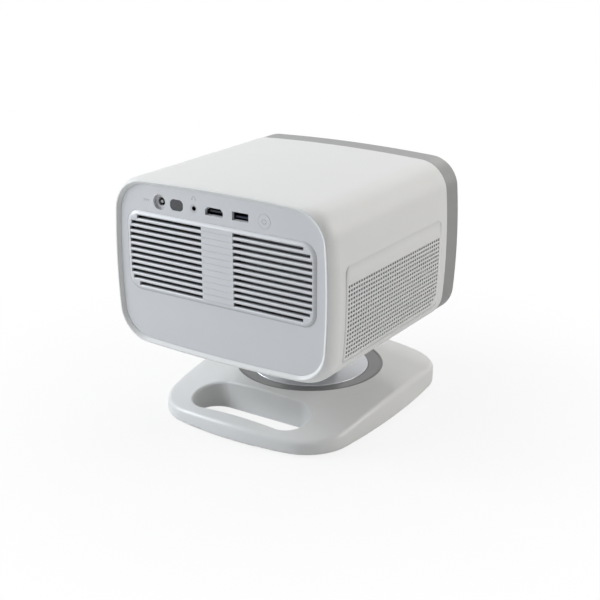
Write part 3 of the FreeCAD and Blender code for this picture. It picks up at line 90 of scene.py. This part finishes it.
lampAim = (0.0, 0.0, 0.1)
lampValues = {
    "leftSoftbox": {
        "place": (1.16, 0.72, 0.75), "size": 0.9, "power": 16.5, "colour": (0.90, 0.95, 1.0),
    },
    "topSoftbox": {
        "place": (0.1, 0.0, 1.6), "size": 1.2, "power": 6.2, "colour": (1.0, 1.0, 1.0),
    },
    "rightSoftbox": {
        "place": (-1.3, -0.7, 0.8), "size": 1.0, "power": 10.0, "colour": (1.0, 0.98, 0.955),
    },
    "frontSoftbox": {
        "place": (0.0, -1.2, 1.1), "size": 0.9, "power": 2.7, "colour": (1.0, 1.0, 1.0),
    },
}
for name, values in lampValues.items():
    lampData = bpy.data.lights.new(name, "AREA")
    lampData.shape = "DISK"
    lampData.size = values["size"]
    lampData.energy = values["power"]
    lampData.color = values["colour"]
    lamp = bpy.data.objects.new(name, lampData)
    lamp.location = values["place"]
    aim = Vector(lampAim) - Vector(values["place"])
    lamp.rotation_euler = aim.to_track_quat("-Z", "Y").to_euler()
    scene.collection.objects.link(lamp)


def rayMask(tree, rayNames):  # 1 for the named kinds of ray, 0 for every other
    rays = tree.nodes.new("ShaderNodeLightPath")
    mask = rays.outputs[rayNames[0]]
    for name in rayNames[1:]:
        either = tree.nodes.new("ShaderNodeMath")
        either.operation = "MAXIMUM"
        tree.links.new(mask, either.inputs[0])
        tree.links.new(rays.outputs[name], either.inputs[1])
        mask = either.outputs[0]
    return mask


# world: a dim fill for the light, plain white where it is seen or mirrored

worldValues = {
    "fill": (0.96, 0.98, 1.0, 1.0),
    "fillStrength": 0.12,
    "white": (1.0, 1.0, 1.0, 1.0),
    "whiteStrength": 1.0,
}
world = bpy.data.worlds.new("studio")
scene.world = world
world.use_nodes = True
tree = world.node_tree
tree.nodes.clear()
fill = tree.nodes.new("ShaderNodeBackground")
fill.inputs["Color"].default_value = worldValues["fill"]
fill.inputs["Strength"].default_value = worldValues["fillStrength"]
white = tree.nodes.new("ShaderNodeBackground")
white.inputs["Color"].default_value = worldValues["white"]
white.inputs["Strength"].default_value = worldValues["whiteStrength"]
backdrop = tree.nodes.new("ShaderNodeMixShader")
worldOut = tree.nodes.new("ShaderNodeOutputWorld")
seenRays = rayMask(tree, ["Is Camera Ray", "Is Glossy Ray", "Is Transmission Ray"])
tree.links.new(seenRays, backdrop.inputs[0])
tree.links.new(fill.outputs[0], backdrop.inputs[1])
tree.links.new(white.outputs[0], backdrop.inputs[2])
tree.links.new(backdrop.outputs[0], worldOut.inputs[0])

# floor: keeps the shadow near the stand and fades to plain white further out

floorValues = {
    "size": 4.0,
    "colour": (0.88, 0.88, 0.88, 1.0),
    "rough": 0.9,
    "nearShare": 0.84,
    "nearRadius": 0.10,
    "farRadius": 0.36,
}
bm = bmesh.new()
bmesh.ops.create_grid(bm, x_segments=2, y_segments=2, size=floorValues["size"])
floorMesh = bpy.data.meshes.new("floor")
bm.to_mesh(floorMesh)
bm.free()
floor = bpy.data.objects.new("floor", floorMesh)
scene.collection.objects.link(floor)
floorPaint = bpy.data.materials.new("floorWhite")
floorPaint.use_nodes = True
tree = floorPaint.node_tree
paint = tree.nodes["Principled BSDF"]
paint.inputs["Base Color"].default_value = floorValues["colour"]
paint.inputs["Roughness"].default_value = floorValues["rough"]
glow = tree.nodes.new("ShaderNodeEmission")
place = tree.nodes.new("ShaderNodeTexCoord")
radius = tree.nodes.new("ShaderNodeVectorMath")
radius.operation = "LENGTH"
fade = tree.nodes.new("ShaderNodeMapRange")
fade.interpolation_type = "SMOOTHSTEP"
fade.inputs["From Min"].default_value = floorValues["nearRadius"]
fade.inputs["From Max"].default_value = floorValues["farRadius"]
fade.inputs["To Min"].default_value = floorValues["nearShare"]
share = tree.nodes.new("ShaderNodeMath")
share.operation = "MULTIPLY"
blend = tree.nodes.new("ShaderNodeMixShader")
tree.links.new(place.outputs["Object"], radius.inputs[0])
tree.links.new(radius.outputs["Value"], fade.inputs["Value"])
tree.links.new(fade.outputs["Result"], share.inputs[0])
tree.links.new(rayMask(tree, ["Is Camera Ray"]), share.inputs[1])
tree.links.new(share.outputs[0], blend.inputs[0])
tree.links.new(paint.outputs[0], blend.inputs[1])
tree.links.new(glow.outputs[0], blend.inputs[2])
tree.links.new(blend.outputs[0], tree.nodes["Material Output"].inputs["Surface"])
floorMesh.materials.append(floorPaint)
print("camera, light and floor ready")

# finishes

usualLook = {
    "mottle": 0.03,  # how far the colour drifts either way
    "mottleSize": 0.02,
    "mottleDetail": 4.0,
    "grain": 0.0004,  # size of the surface texture
    "grainStretch": (1, 1, 1),
    "grainDetail": 3.0,
    "roughDrift": 0.05,
    "relief": 0.25,
    "depth": 0.00003,
    "metal": 0.0,
    "coat": 0.0,
    "coatRough": 0.1,
    "clear": 0.0,
}


def addNoise(tree, size, detail, stretch=(1, 1, 1)):
    place = tree.nodes.new("ShaderNodeTexCoord")
    mapping = tree.nodes.new("ShaderNodeMapping")
    mapping.inputs["Scale"].default_value = stretch
    noise = tree.nodes.new("ShaderNodeTexNoise")
    noise.inputs["Scale"].default_value = 1.0 / size
    noise.inputs["Detail"].default_value = detail
    tree.links.new(place.outputs["Object"], mapping.inputs["Vector"])
    tree.links.new(mapping.outputs["Vector"], noise.inputs["Vector"])
    return noise.outputs["Fac"]


def addMix(tree, factor, first, second):
    mix = tree.nodes.new("ShaderNodeMix")
    mix.data_type = "RGBA"
    for socket, colour in (("A", first), ("B", second)):
        if isinstance(colour, tuple):
            mix.inputs[socket].default_value = colour
        else:
            tree.links.new(colour, mix.inputs[socket])
    tree.links.new(factor, mix.inputs["Factor"])
    return mix.outputs["Result"]


def scaled(colour, factor):
    return tuple(min(1, part * factor) for part in colour) + (1,)


# painted shade in recesses: past the mouth's lip the colour darkens with depth along Y
def addPaintedDepthShade(tree, colour, look):  # a mouth's lip keeps its colour and its walls go dark
    place = tree.nodes.new("ShaderNodeTexCoord")
    apart = tree.nodes.new("ShaderNodeSeparateXYZ")
    ramp = tree.nodes.new("ShaderNodeMapRange")
    ramp.inputs["From Min"].default_value = look["mouth"] - look["lip"] - look["fade"]
    ramp.inputs["From Max"].default_value = look["mouth"] - look["lip"]
    tree.links.new(place.outputs["Object"], apart.inputs[0])
    tree.links.new(apart.outputs["Y"], ramp.inputs["Value"])
    return addMix(tree, ramp.outputs["Result"], look["deep"] + (1,), colour)


def makeFinish(name, changes):
    look = {**usualLook, **changes}
    material = bpy.data.materials.new(name)
    material.use_nodes = True
    tree = material.node_tree
    surface = tree.nodes["Principled BSDF"]
    drift = addNoise(tree, look["mottleSize"], look["mottleDetail"])
    darker = scaled(look["colour"], 1 - look["mottle"])
    lighter = scaled(look["colour"], 1 + look["mottle"])
    colour = addMix(tree, drift, darker, lighter)
    # sockets and louvre slots get painted shade that deepens further in
    if "mouth" in look:
        colour = addPaintedDepthShade(tree, colour, look)
    tree.links.new(colour, surface.inputs["Base Color"])
    grain = addNoise(tree, look["grain"], look["grainDetail"], look["grainStretch"])
    gloss = tree.nodes.new("ShaderNodeMapRange")
    gloss.inputs["To Min"].default_value = look["rough"] - look["roughDrift"]
    gloss.inputs["To Max"].default_value = look["rough"] + look["roughDrift"]
    tree.links.new(grain, gloss.inputs["Value"])
    tree.links.new(gloss.outputs["Result"], surface.inputs["Roughness"])
    relief = tree.nodes.new("ShaderNodeBump")
    relief.inputs["Strength"].default_value = look["relief"]
    relief.inputs["Distance"].default_value = look["depth"]
    tree.links.new(grain, relief.inputs["Height"])
    tree.links.new(relief.outputs["Normal"], surface.inputs["Normal"])
    surface.inputs["Metallic"].default_value = look["metal"]
    surface.inputs["Coat Weight"].default_value = look["coat"]
    surface.inputs["Coat Roughness"].default_value = look["coatRough"]
    surface.inputs["Transmission Weight"].default_value = look["clear"]
    return material


mouldedLooks = {
    "shell_white": {
        "colour": (0.83, 0.83, 0.815), "rough": 0.42, "mottle": 0.012, "grain": 0.00035, "relief": 0.2,
    },
    "ring_grey": {
        "colour": (0.30, 0.30, 0.297), "rough": 0.45, "grain": 0.0003, "metal": 0.15, "coat": 0.1,
    },
    "panel_silver": {
        "colour": (0.715, 0.72, 0.735), "rough": 0.46, "mottle": 0.015, "grain": 0.00025, "metal": 0.1,
    },
    "louvre_silver": {
        "colour": (0.73, 0.735, 0.75), "rough": 0.42, "mottle": 0.015, "grain": 0.00025, "metal": 0.1,
    },
    "button_grey": {
        "colour": (0.715, 0.72, 0.735), "rough": 0.44, "mottle": 0.015, "grain": 0.00025, "metal": 0.1,
    },
    "grille_white": {"colour": (0.80, 0.80, 0.79), "rough": 0.45, "mottle": 0.015, "grain": 0.0003},
    "base_white": {
        "colour": (0.83, 0.83, 0.82), "rough": 0.36, "mottle": 0.012, "grain": 0.00035,
        "relief": 0.15, "coat": 0.15,
    },
    "black_plastic": {
        "colour": (0.022, 0.022, 0.024), "rough": 0.55, "mottle": 0.2, "grain": 0.0005, "relief": 0.5,
    },
    "front_black": {
        "colour": (0.010, 0.010, 0.012), "rough": 0.12, "mottle": 0.1, "grain": 0.001,
        "roughDrift": 0.02, "relief": 0.05, "coat": 0.6,
    },
    "ir_glass": {
        "colour": (0.045, 0.045, 0.048), "rough": 0.28, "mottle": 0.1, "relief": 0.1, "coat": 0.4,
    },
    "pom": {"colour": (0.78, 0.78, 0.75), "rough": 0.4, "mottle": 0.02},
    "rubber": {
        "colour": (0.03, 0.03, 0.03), "rough": 0.75, "mottle": 0.2, "grain": 0.0006,
        "relief": 0.6, "depth": 0.0001,
    },
    "socket_silver": {"colour": (0.60, 0.60, 0.61), "rough": 0.4, "metal": 0.3},
    "marks_grey": {"colour": (0.34, 0.34, 0.35), "rough": 0.5, "mottle": 0.04},
}
metalLooks = {
    "trim_grey": {
        "colour": (0.25, 0.25, 0.25), "rough": 0.36, "mottle": 0.05, "metal": 0.35, "grain": 0.0003,
    },
    "disc_grey": {"colour": (0.66, 0.67, 0.70), "rough": 0.3, "metal": 0.6, "grain": 0.0003},
    "neck_grey": {"colour": (0.42, 0.425, 0.435), "rough": 0.4, "metal": 0.3},
    "steel": {
        "colour": (0.55, 0.55, 0.56), "rough": 0.3, "metal": 1.0, "mottle": 0.08,
        "grainStretch": (1, 1, 12),
    },
    "weight_iron": {
        "colour": (0.12, 0.12, 0.125), "rough": 0.6, "metal": 0.7, "mottle": 0.25, "grain": 0.0008,
        "relief": 0.6, "depth": 0.0001,
    },
    "brass": {"colour": (0.66, 0.48, 0.20), "rough": 0.3, "metal": 1.0, "mottle": 0.08},
    "aluminium": {
        "colour": (0.70, 0.71, 0.72), "rough": 0.35, "metal": 0.9, "mottle": 0.06,
        "grainStretch": (1, 8, 1),
    },
    "copper": {
        "colour": (0.72, 0.34, 0.20), "rough": 0.28, "metal": 1.0, "mottle": 0.1,
        "grainStretch": (1, 0.2, 1),
    },
}
insideLooks = {
    "board_green": {
        "colour": (0.015, 0.10, 0.05), "rough": 0.35, "mottle": 0.3, "mottleSize": 0.004, "coat": 0.3,
    },
    "glass": {
        "colour": (0.30, 0.36, 0.58), "rough": 0.03, "mottle": 0.1, "roughDrift": 0.01,
        "relief": 0.0, "clear": 0.92, "coat": 1.0, "coatRough": 0.02,
    },
    "cone_grey": {
        "colour": (0.08, 0.08, 0.08), "rough": 0.7, "mottle": 0.2, "grain": 0.0006,
        "relief": 0.7, "depth": 0.0001,
    },
    "speaker_cloth": {
        "colour": (0.025, 0.025, 0.027), "rough": 0.9, "mottle": 0.4, "mottleSize": 0.0012,
        "grain": 0.0006, "relief": 1.0, "depth": 0.0002,
    },
}
allLooks = {**mouldedLooks, **metalLooks, **insideLooks}
finishes = {name: makeFinish(name, look) for name, look in allLooks.items()}
for part in frame["record"]["subparts"]:
    for materialSlot in nodes[part["node"]].material_slots:
        materialSlot.material = finishes[part["material_slot"]]
print("finishes ready:", len(finishes))

# sockets and louvres: painted shade, light at the mouth and dark further in; in the sockets the dark
# also stands for their dark insulators

shadedMouthLooks = {
    "dc_jack": {
        "colour": (0.60, 0.60, 0.61), "metal": 0.2,
        "deep": (0.10, 0.10, 0.105), "lip": 0.0003, "fade": 0.004,
    },
    "audio_jack": {
        "colour": (0.60, 0.60, 0.61), "metal": 0.2,
        "deep": (0.03, 0.03, 0.03), "lip": 0.0001, "fade": 0.0004,
    },
    "video_socket": {
        "colour": (0.42, 0.42, 0.43), "metal": 0.7,
        "deep": (0.05, 0.052, 0.06), "lip": 0.0002, "fade": 0.0006,
    },
    "data_socket": {
        "colour": (0.42, 0.42, 0.43), "metal": 0.7,
        "deep": (0.045, 0.05, 0.075), "lip": 0.0002, "fade": 0.0006,
    },
    # the louvre slots get painted shade only; the insert's own colour is the silver given here
    "vent_insert": {
        "colour": (0.73, 0.735, 0.75), "metal": 0.1,
        "deep": (0.12, 0.12, 0.125), "lip": 0.0002, "fade": 0.0026,
    },
}
for name, changes in shadedMouthLooks.items():
    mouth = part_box(name)[1][1]
    finish = makeFinish("depth_shaded_" + name, {"rough": 0.4, "mouth": mouth, **changes})
    for materialSlot in nodes[name].material_slots:
        materialSlot.material = finish
print("sockets and louvres ready")


orderAxis = Vector((0.719, 1.0, 0.463))  # askew, so that no two places share a rank


def fixOrder(bm):  # corners and faces come in the same order at every run
    bm.verts.sort(key=lambda vert: vert.co.dot(orderAxis))
    bm.faces.sort(key=lambda face: face.calc_center_median().dot(orderAxis))


def keepPiece(bm, name, body, finish, replaced=(), sharpAngle=35):
    fixOrder(bm)
    mesh = bpy.data.meshes.new(name)
    bm.to_mesh(mesh)
    bm.free()
    mesh.materials.append(finishes[finish])
    mesh.shade_smooth()
    mesh.set_sharp_from_angle(angle=math.radians(sharpAngle))
    piece = bpy.data.objects.new(name, mesh)
    scene.collection.objects.link(piece)
    if replaced:
        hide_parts(*replaced)
    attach(piece, body)
    return piece


# the head's side: a bowed wall that turns into the long corners

headSide = {"sideBow": 0.5, "topBow": 1.4, "corner": 0.0235}
headLow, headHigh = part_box("head_shell")
headSide["half"] = (headHigh[0] - headLow[0]) / 2
headSide["middle"] = (headHigh[2] + headLow[2]) / 2
headSide["rise"] = (headHigh[2] - headLow[2]) / 2


def findCorner():  # middle of the long corner's arc, which touches the side's arc and the top's
    wallMiddle = headSide["half"] - headSide["sideBow"]
    topMiddle = headSide["rise"] - headSide["topBow"]
    toWall = headSide["sideBow"] - headSide["corner"]
    toTop = headSide["topBow"] - headSide["corner"]
    span = math.hypot(wallMiddle, topMiddle)
    along = (toWall**2 - toTop**2 + span**2) / (2 * span)
    across = math.sqrt(toWall**2 - along**2)
    cornerX = wallMiddle - (along * wallMiddle + across * topMiddle) / span
    cornerZ = (along * topMiddle - across * wallMiddle) / span
    return cornerX, cornerZ


cornerX, cornerZ = findCorner()


def sideReach(height):  # how far out the head's side is at a height
    above = abs(height - headSide["middle"])
    if above < cornerZ * headSide["sideBow"] / (headSide["sideBow"] - headSide["corner"]):
        return headSide["half"] - headSide["sideBow"] + math.sqrt(headSide["sideBow"] ** 2 - above**2)
    return cornerX + math.sqrt(headSide["corner"] ** 2 - (above - cornerZ) ** 2)


def bendOntoSide(bm, side, sunk):  # a flat sheet, X along the head and Y up, takes the side's bow
    for vert in bm.verts:
        along, up = vert.co.x, vert.co.y
        vert.co = Vector((side * (sideReach(up) - sunk), along, up))
    bmesh.ops.recalc_face_normals(bm, faces=bm.faces[:])
    if side * sum(face.normal.x for face in bm.faces) < 0:
        bmesh.ops.reverse_faces(bm, faces=bm.faces[:])


# side grilles: rows of small round holes, plain margins, the lower front corner left blank

grille = {
    "columns": 40,
    "rows": 17,
    "pitchAlong": 0.003333,
    "pitchUp": 0.00318,
    "rearMargin": 0.0046,  # rear edge to the first column's middle
    "topMargin": 0.0148,  # top edge to the first row's middle
    "hole": 0.00112,  # radius
    "ringInset": 0.00028,  # makes each hole's ring of corners, which is rounded afterwards
    "nearness": 0.000112,  # closer than this is on the edge
    "wall": 0.0006,
    "corner": 0.0048,
    "seam": 0.00006,  # how far the plate reaches into the gap round it
    "blank": 3,  # columns and rows that the blank corner can touch
    "blankReach": 3.3,
}


def isBlank(column, row):  # columns count from the rear, rows from the top
    fromFront = grille["columns"] - 1 - column
    fromFoot = grille["rows"] - 1 - row
    if max(fromFront, fromFoot) >= grille["blank"]:
        return False
    return math.hypot(grille["blank"] - fromFront, grille["blank"] - fromFoot) > grille["blankReach"]


def isOnLimit(vert, low, high):  # on the outer edge of the field of holes
    gaps = [abs(vert.co[axis] - limit[axis]) for axis in (0, 1) for limit in (low, high)]
    return min(gaps) < grille["nearness"]


def roundRim(verts, fieldLow, fieldHigh, low, high):  # moves the field's edge out to the plate's
    corner = grille["corner"]
    near = grille["nearness"]
    for vert in verts:
        for axis in (0, 1):
            if abs(vert.co[axis] - fieldLow[axis]) < near:
                vert.co[axis] = low[axis]
            elif abs(vert.co[axis] - fieldHigh[axis]) < near:
                vert.co[axis] = high[axis]
        inner = Vector((0, 0))
        for axis in (0, 1):
            inner[axis] = min(max(vert.co[axis], low[axis] + corner), high[axis] - corner)
        away = Vector(vert.co[:2]) - inner
        if min(abs(away.x), abs(away.y)) > near:
            vert.co[:2] = inner + away.normalized() * corner


def makeCells(bm, fieldLow, fieldHigh):  # one eight-sided face for each hole and the plate round it
    middle = Vector(((fieldHigh[0] + fieldLow[0]) / 2, (fieldHigh[1] + fieldLow[1]) / 2, 0))
    half = Vector(((fieldHigh[0] - fieldLow[0]) / 2, (fieldHigh[1] - fieldLow[1]) / 2, 1, 1))
    bmesh.ops.create_grid(
        bm,
        x_segments=grille["columns"] * 2,
        y_segments=grille["rows"] * 2,
        size=1,
        matrix=Matrix.Translation(middle) @ Matrix.Diagonal(half),
    )
    cellMiddles = []
    for vert in bm.verts:
        stepAlong = round((fieldHigh[0] - vert.co.x) / grille["pitchAlong"] * 2)
        stepUp = round((fieldHigh[1] - vert.co.y) / grille["pitchUp"] * 2)
        if stepAlong % 2 and stepUp % 2:
            cellMiddles.append(vert)
    bmesh.ops.dissolve_verts(bm, verts=cellMiddles)


def openHoles(bm, fieldHigh):
    holes = []
    for face in bm.faces:
        cellMiddle = face.calc_center_median()
        column = math.floor((fieldHigh[0] - cellMiddle.x) / grille["pitchAlong"])
        row = math.floor((fieldHigh[1] - cellMiddle.y) / grille["pitchUp"])
        if not isBlank(column, row):
            holes.append(face)
    bmesh.ops.inset_individual(bm, faces=holes, thickness=grille["ringInset"])
    for face in holes:
        holeMiddle = face.calc_center_median()
        for vert in face.verts:
            vert.co = holeMiddle + (vert.co - holeMiddle).normalized() * grille["hole"]
    bmesh.ops.delete(bm, geom=holes, context="FACES")


def growMargins(bm, fieldLow, fieldHigh, plateLow, plateHigh):  # plain plate round the field
    edges = [edge for edge in bm.edges if edge.is_boundary]
    rim = [edge for edge in edges if all(isOnLimit(vert, fieldLow, fieldHigh) for vert in edge.verts)]
    grown = bmesh.ops.extrude_edge_only(bm, edges=rim)["geom"]
    rimVerts = [item for item in grown if isinstance(item, bmesh.types.BMVert)]
    roundRim(rimVerts, fieldLow, fieldHigh, plateLow, plateHigh)


def makeGrille(side, name, node):
    low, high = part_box(node)
    plateLow = [low[axis] - grille["seam"] for axis in (1, 2)]
    plateHigh = [high[axis] + grille["seam"] for axis in (1, 2)]
    rear = high[1] - grille["rearMargin"] + grille["pitchAlong"] / 2
    top = high[2] - grille["topMargin"] + grille["pitchUp"] / 2
    front = rear - grille["columns"] * grille["pitchAlong"]
    foot = top - grille["rows"] * grille["pitchUp"]
    bm = bmesh.new()
    makeCells(bm, (front, foot), (rear, top))
    openHoles(bm, (rear, top))
    growMargins(bm, (front, foot), (rear, top), plateLow, plateHigh)
    bendOntoSide(bm, side, 0)
    piece = keepPiece(bm, name, "head", "grille_white", [node])
    thickness = piece.modifiers.new("thickness", "SOLIDIFY")
    thickness.thickness = grille["wall"]
    thickness.offset = -1  # the wall grows inwards


makeGrille(1, "perforated_side_left", "side_grille_left")
makeGrille(-1, "perforated_side_right", "side_grille_right")
print("side grilles ready")

# dark cloth close behind each grille

cloth = {"margin": 0.0045, "sunk": 0.0016, "stepsUp": 24}


def makeCloth(side, name, node):
    low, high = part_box(node)
    middle = Vector(((low[1] + high[1]) / 2, (low[2] + high[2]) / 2, 0))
    halfAlong = (high[1] - low[1]) / 2 - cloth["margin"]
    halfUp = (high[2] - low[2]) / 2 - cloth["margin"]
    bm = bmesh.new()
    bmesh.ops.create_grid(
        bm,
        x_segments=1,
        y_segments=cloth["stepsUp"],
        size=1,
        matrix=Matrix.Translation(middle) @ Matrix.Diagonal((halfAlong, halfUp, 1, 1)),
    )
    bendOntoSide(bm, side, cloth["sunk"])
    return keepPiece(bm, name, "head", "speaker_cloth")


makeCloth(1, "speaker_cloth_left", "side_grille_left")
makeCloth(-1, "speaker_cloth_right", "side_grille_right")
print("speaker cloths ready")

# small printed marks: power, direct current and headphones

marks = {
    "height": 0.00003,
    "stroke": 0.00032,
    "powerRadius": 0.0017,
    "powerGap": 70,
    "powerBar": 0.0017,
    "currentPlace": (0.0627, 0.1772),
    "currentWidth": 0.0050,
    "currentRise": 0.0009,
    "currentDashes": 3,
    "earPlace": (0.0200, 0.1843),
    "earRadius": 0.0014,
    "earPad": (0.0006, 0.0011),
    "arcSteps": 20,
}


def addBar(bm, middle, across, upward):
    size = Vector((across, marks["height"], upward, 1))
    bmesh.ops.create_cube(bm, size=1, matrix=Matrix.Translation(middle) @ Matrix.Diagonal(size))


def addArc(bm, middle, radius, start, sweep):  # angles in degrees, from the X axis about Y
    size = Vector((marks["stroke"] / 2, marks["height"] / 2, 1, 1))
    turn = Matrix.Rotation(math.radians(start), 4, "Y")
    outward = Matrix.Translation((radius, 0, 0))
    place = Matrix.Translation(middle) @ turn @ outward @ Matrix.Diagonal(size)
    section = bmesh.ops.create_grid(bm, x_segments=1, y_segments=1, size=1, matrix=place)["verts"]
    face = section[0].link_faces[0]
    bmesh.ops.spin(
        bm,
        geom=section + [face] + list(face.edges),
        cent=middle,
        axis=(0, 1, 0),
        angle=math.radians(sweep),
        steps=marks["arcSteps"],
    )


def finishMark(bm, name, body):
    bmesh.ops.recalc_face_normals(bm, faces=bm.faces[:])
    return keepPiece(bm, name, body, "marks_grey")


def makePowerMark():
    low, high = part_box("power_button")
    middle = Vector(((low[0] + high[0]) / 2, high[1] + marks["height"] / 2, (low[2] + high[2]) / 2))
    bm = bmesh.new()
    addArc(bm, middle, marks["powerRadius"], -90 + marks["powerGap"] / 2, 360 - marks["powerGap"])
    barMiddle = middle + Vector((0, 0, marks["powerRadius"] - marks["powerBar"] / 4))
    addBar(bm, barMiddle, marks["stroke"], marks["powerBar"])
    return finishMark(bm, "power_mark", "power_button")


def makeCurrentMark(face):
    x, z = marks["currentPlace"]
    bm = bmesh.new()
    addBar(bm, Vector((x, face, z + marks["currentRise"] / 2)), marks["currentWidth"], marks["stroke"])
    dash = marks["currentWidth"] / (marks["currentDashes"] * 2 - 1)
    for number in range(marks["currentDashes"]):
        shift = dash * 2 * number - marks["currentWidth"] / 2 + dash / 2
        addBar(bm, Vector((x + shift, face, z - marks["currentRise"] / 2)), dash, marks["stroke"])
    return finishMark(bm, "current_mark", "head")


def makeEarMark(face):
    x, z = marks["earPlace"]
    bm = bmesh.new()
    addArc(bm, Vector((x, face, z)), marks["earRadius"], 180, 180)
    for side in (-1, 1):
        padMiddle = Vector((x + side * marks["earRadius"], face, z - marks["earPad"][1] / 2))
        addBar(bm, padMiddle, *marks["earPad"])
    return finishMark(bm, "headphone_mark", "head")


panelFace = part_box("rear_panel")[1][1] + marks["height"] / 2
makePowerMark()
makeCurrentMark(panelFace)
makeEarMark(panelFace)
print("marks ready")
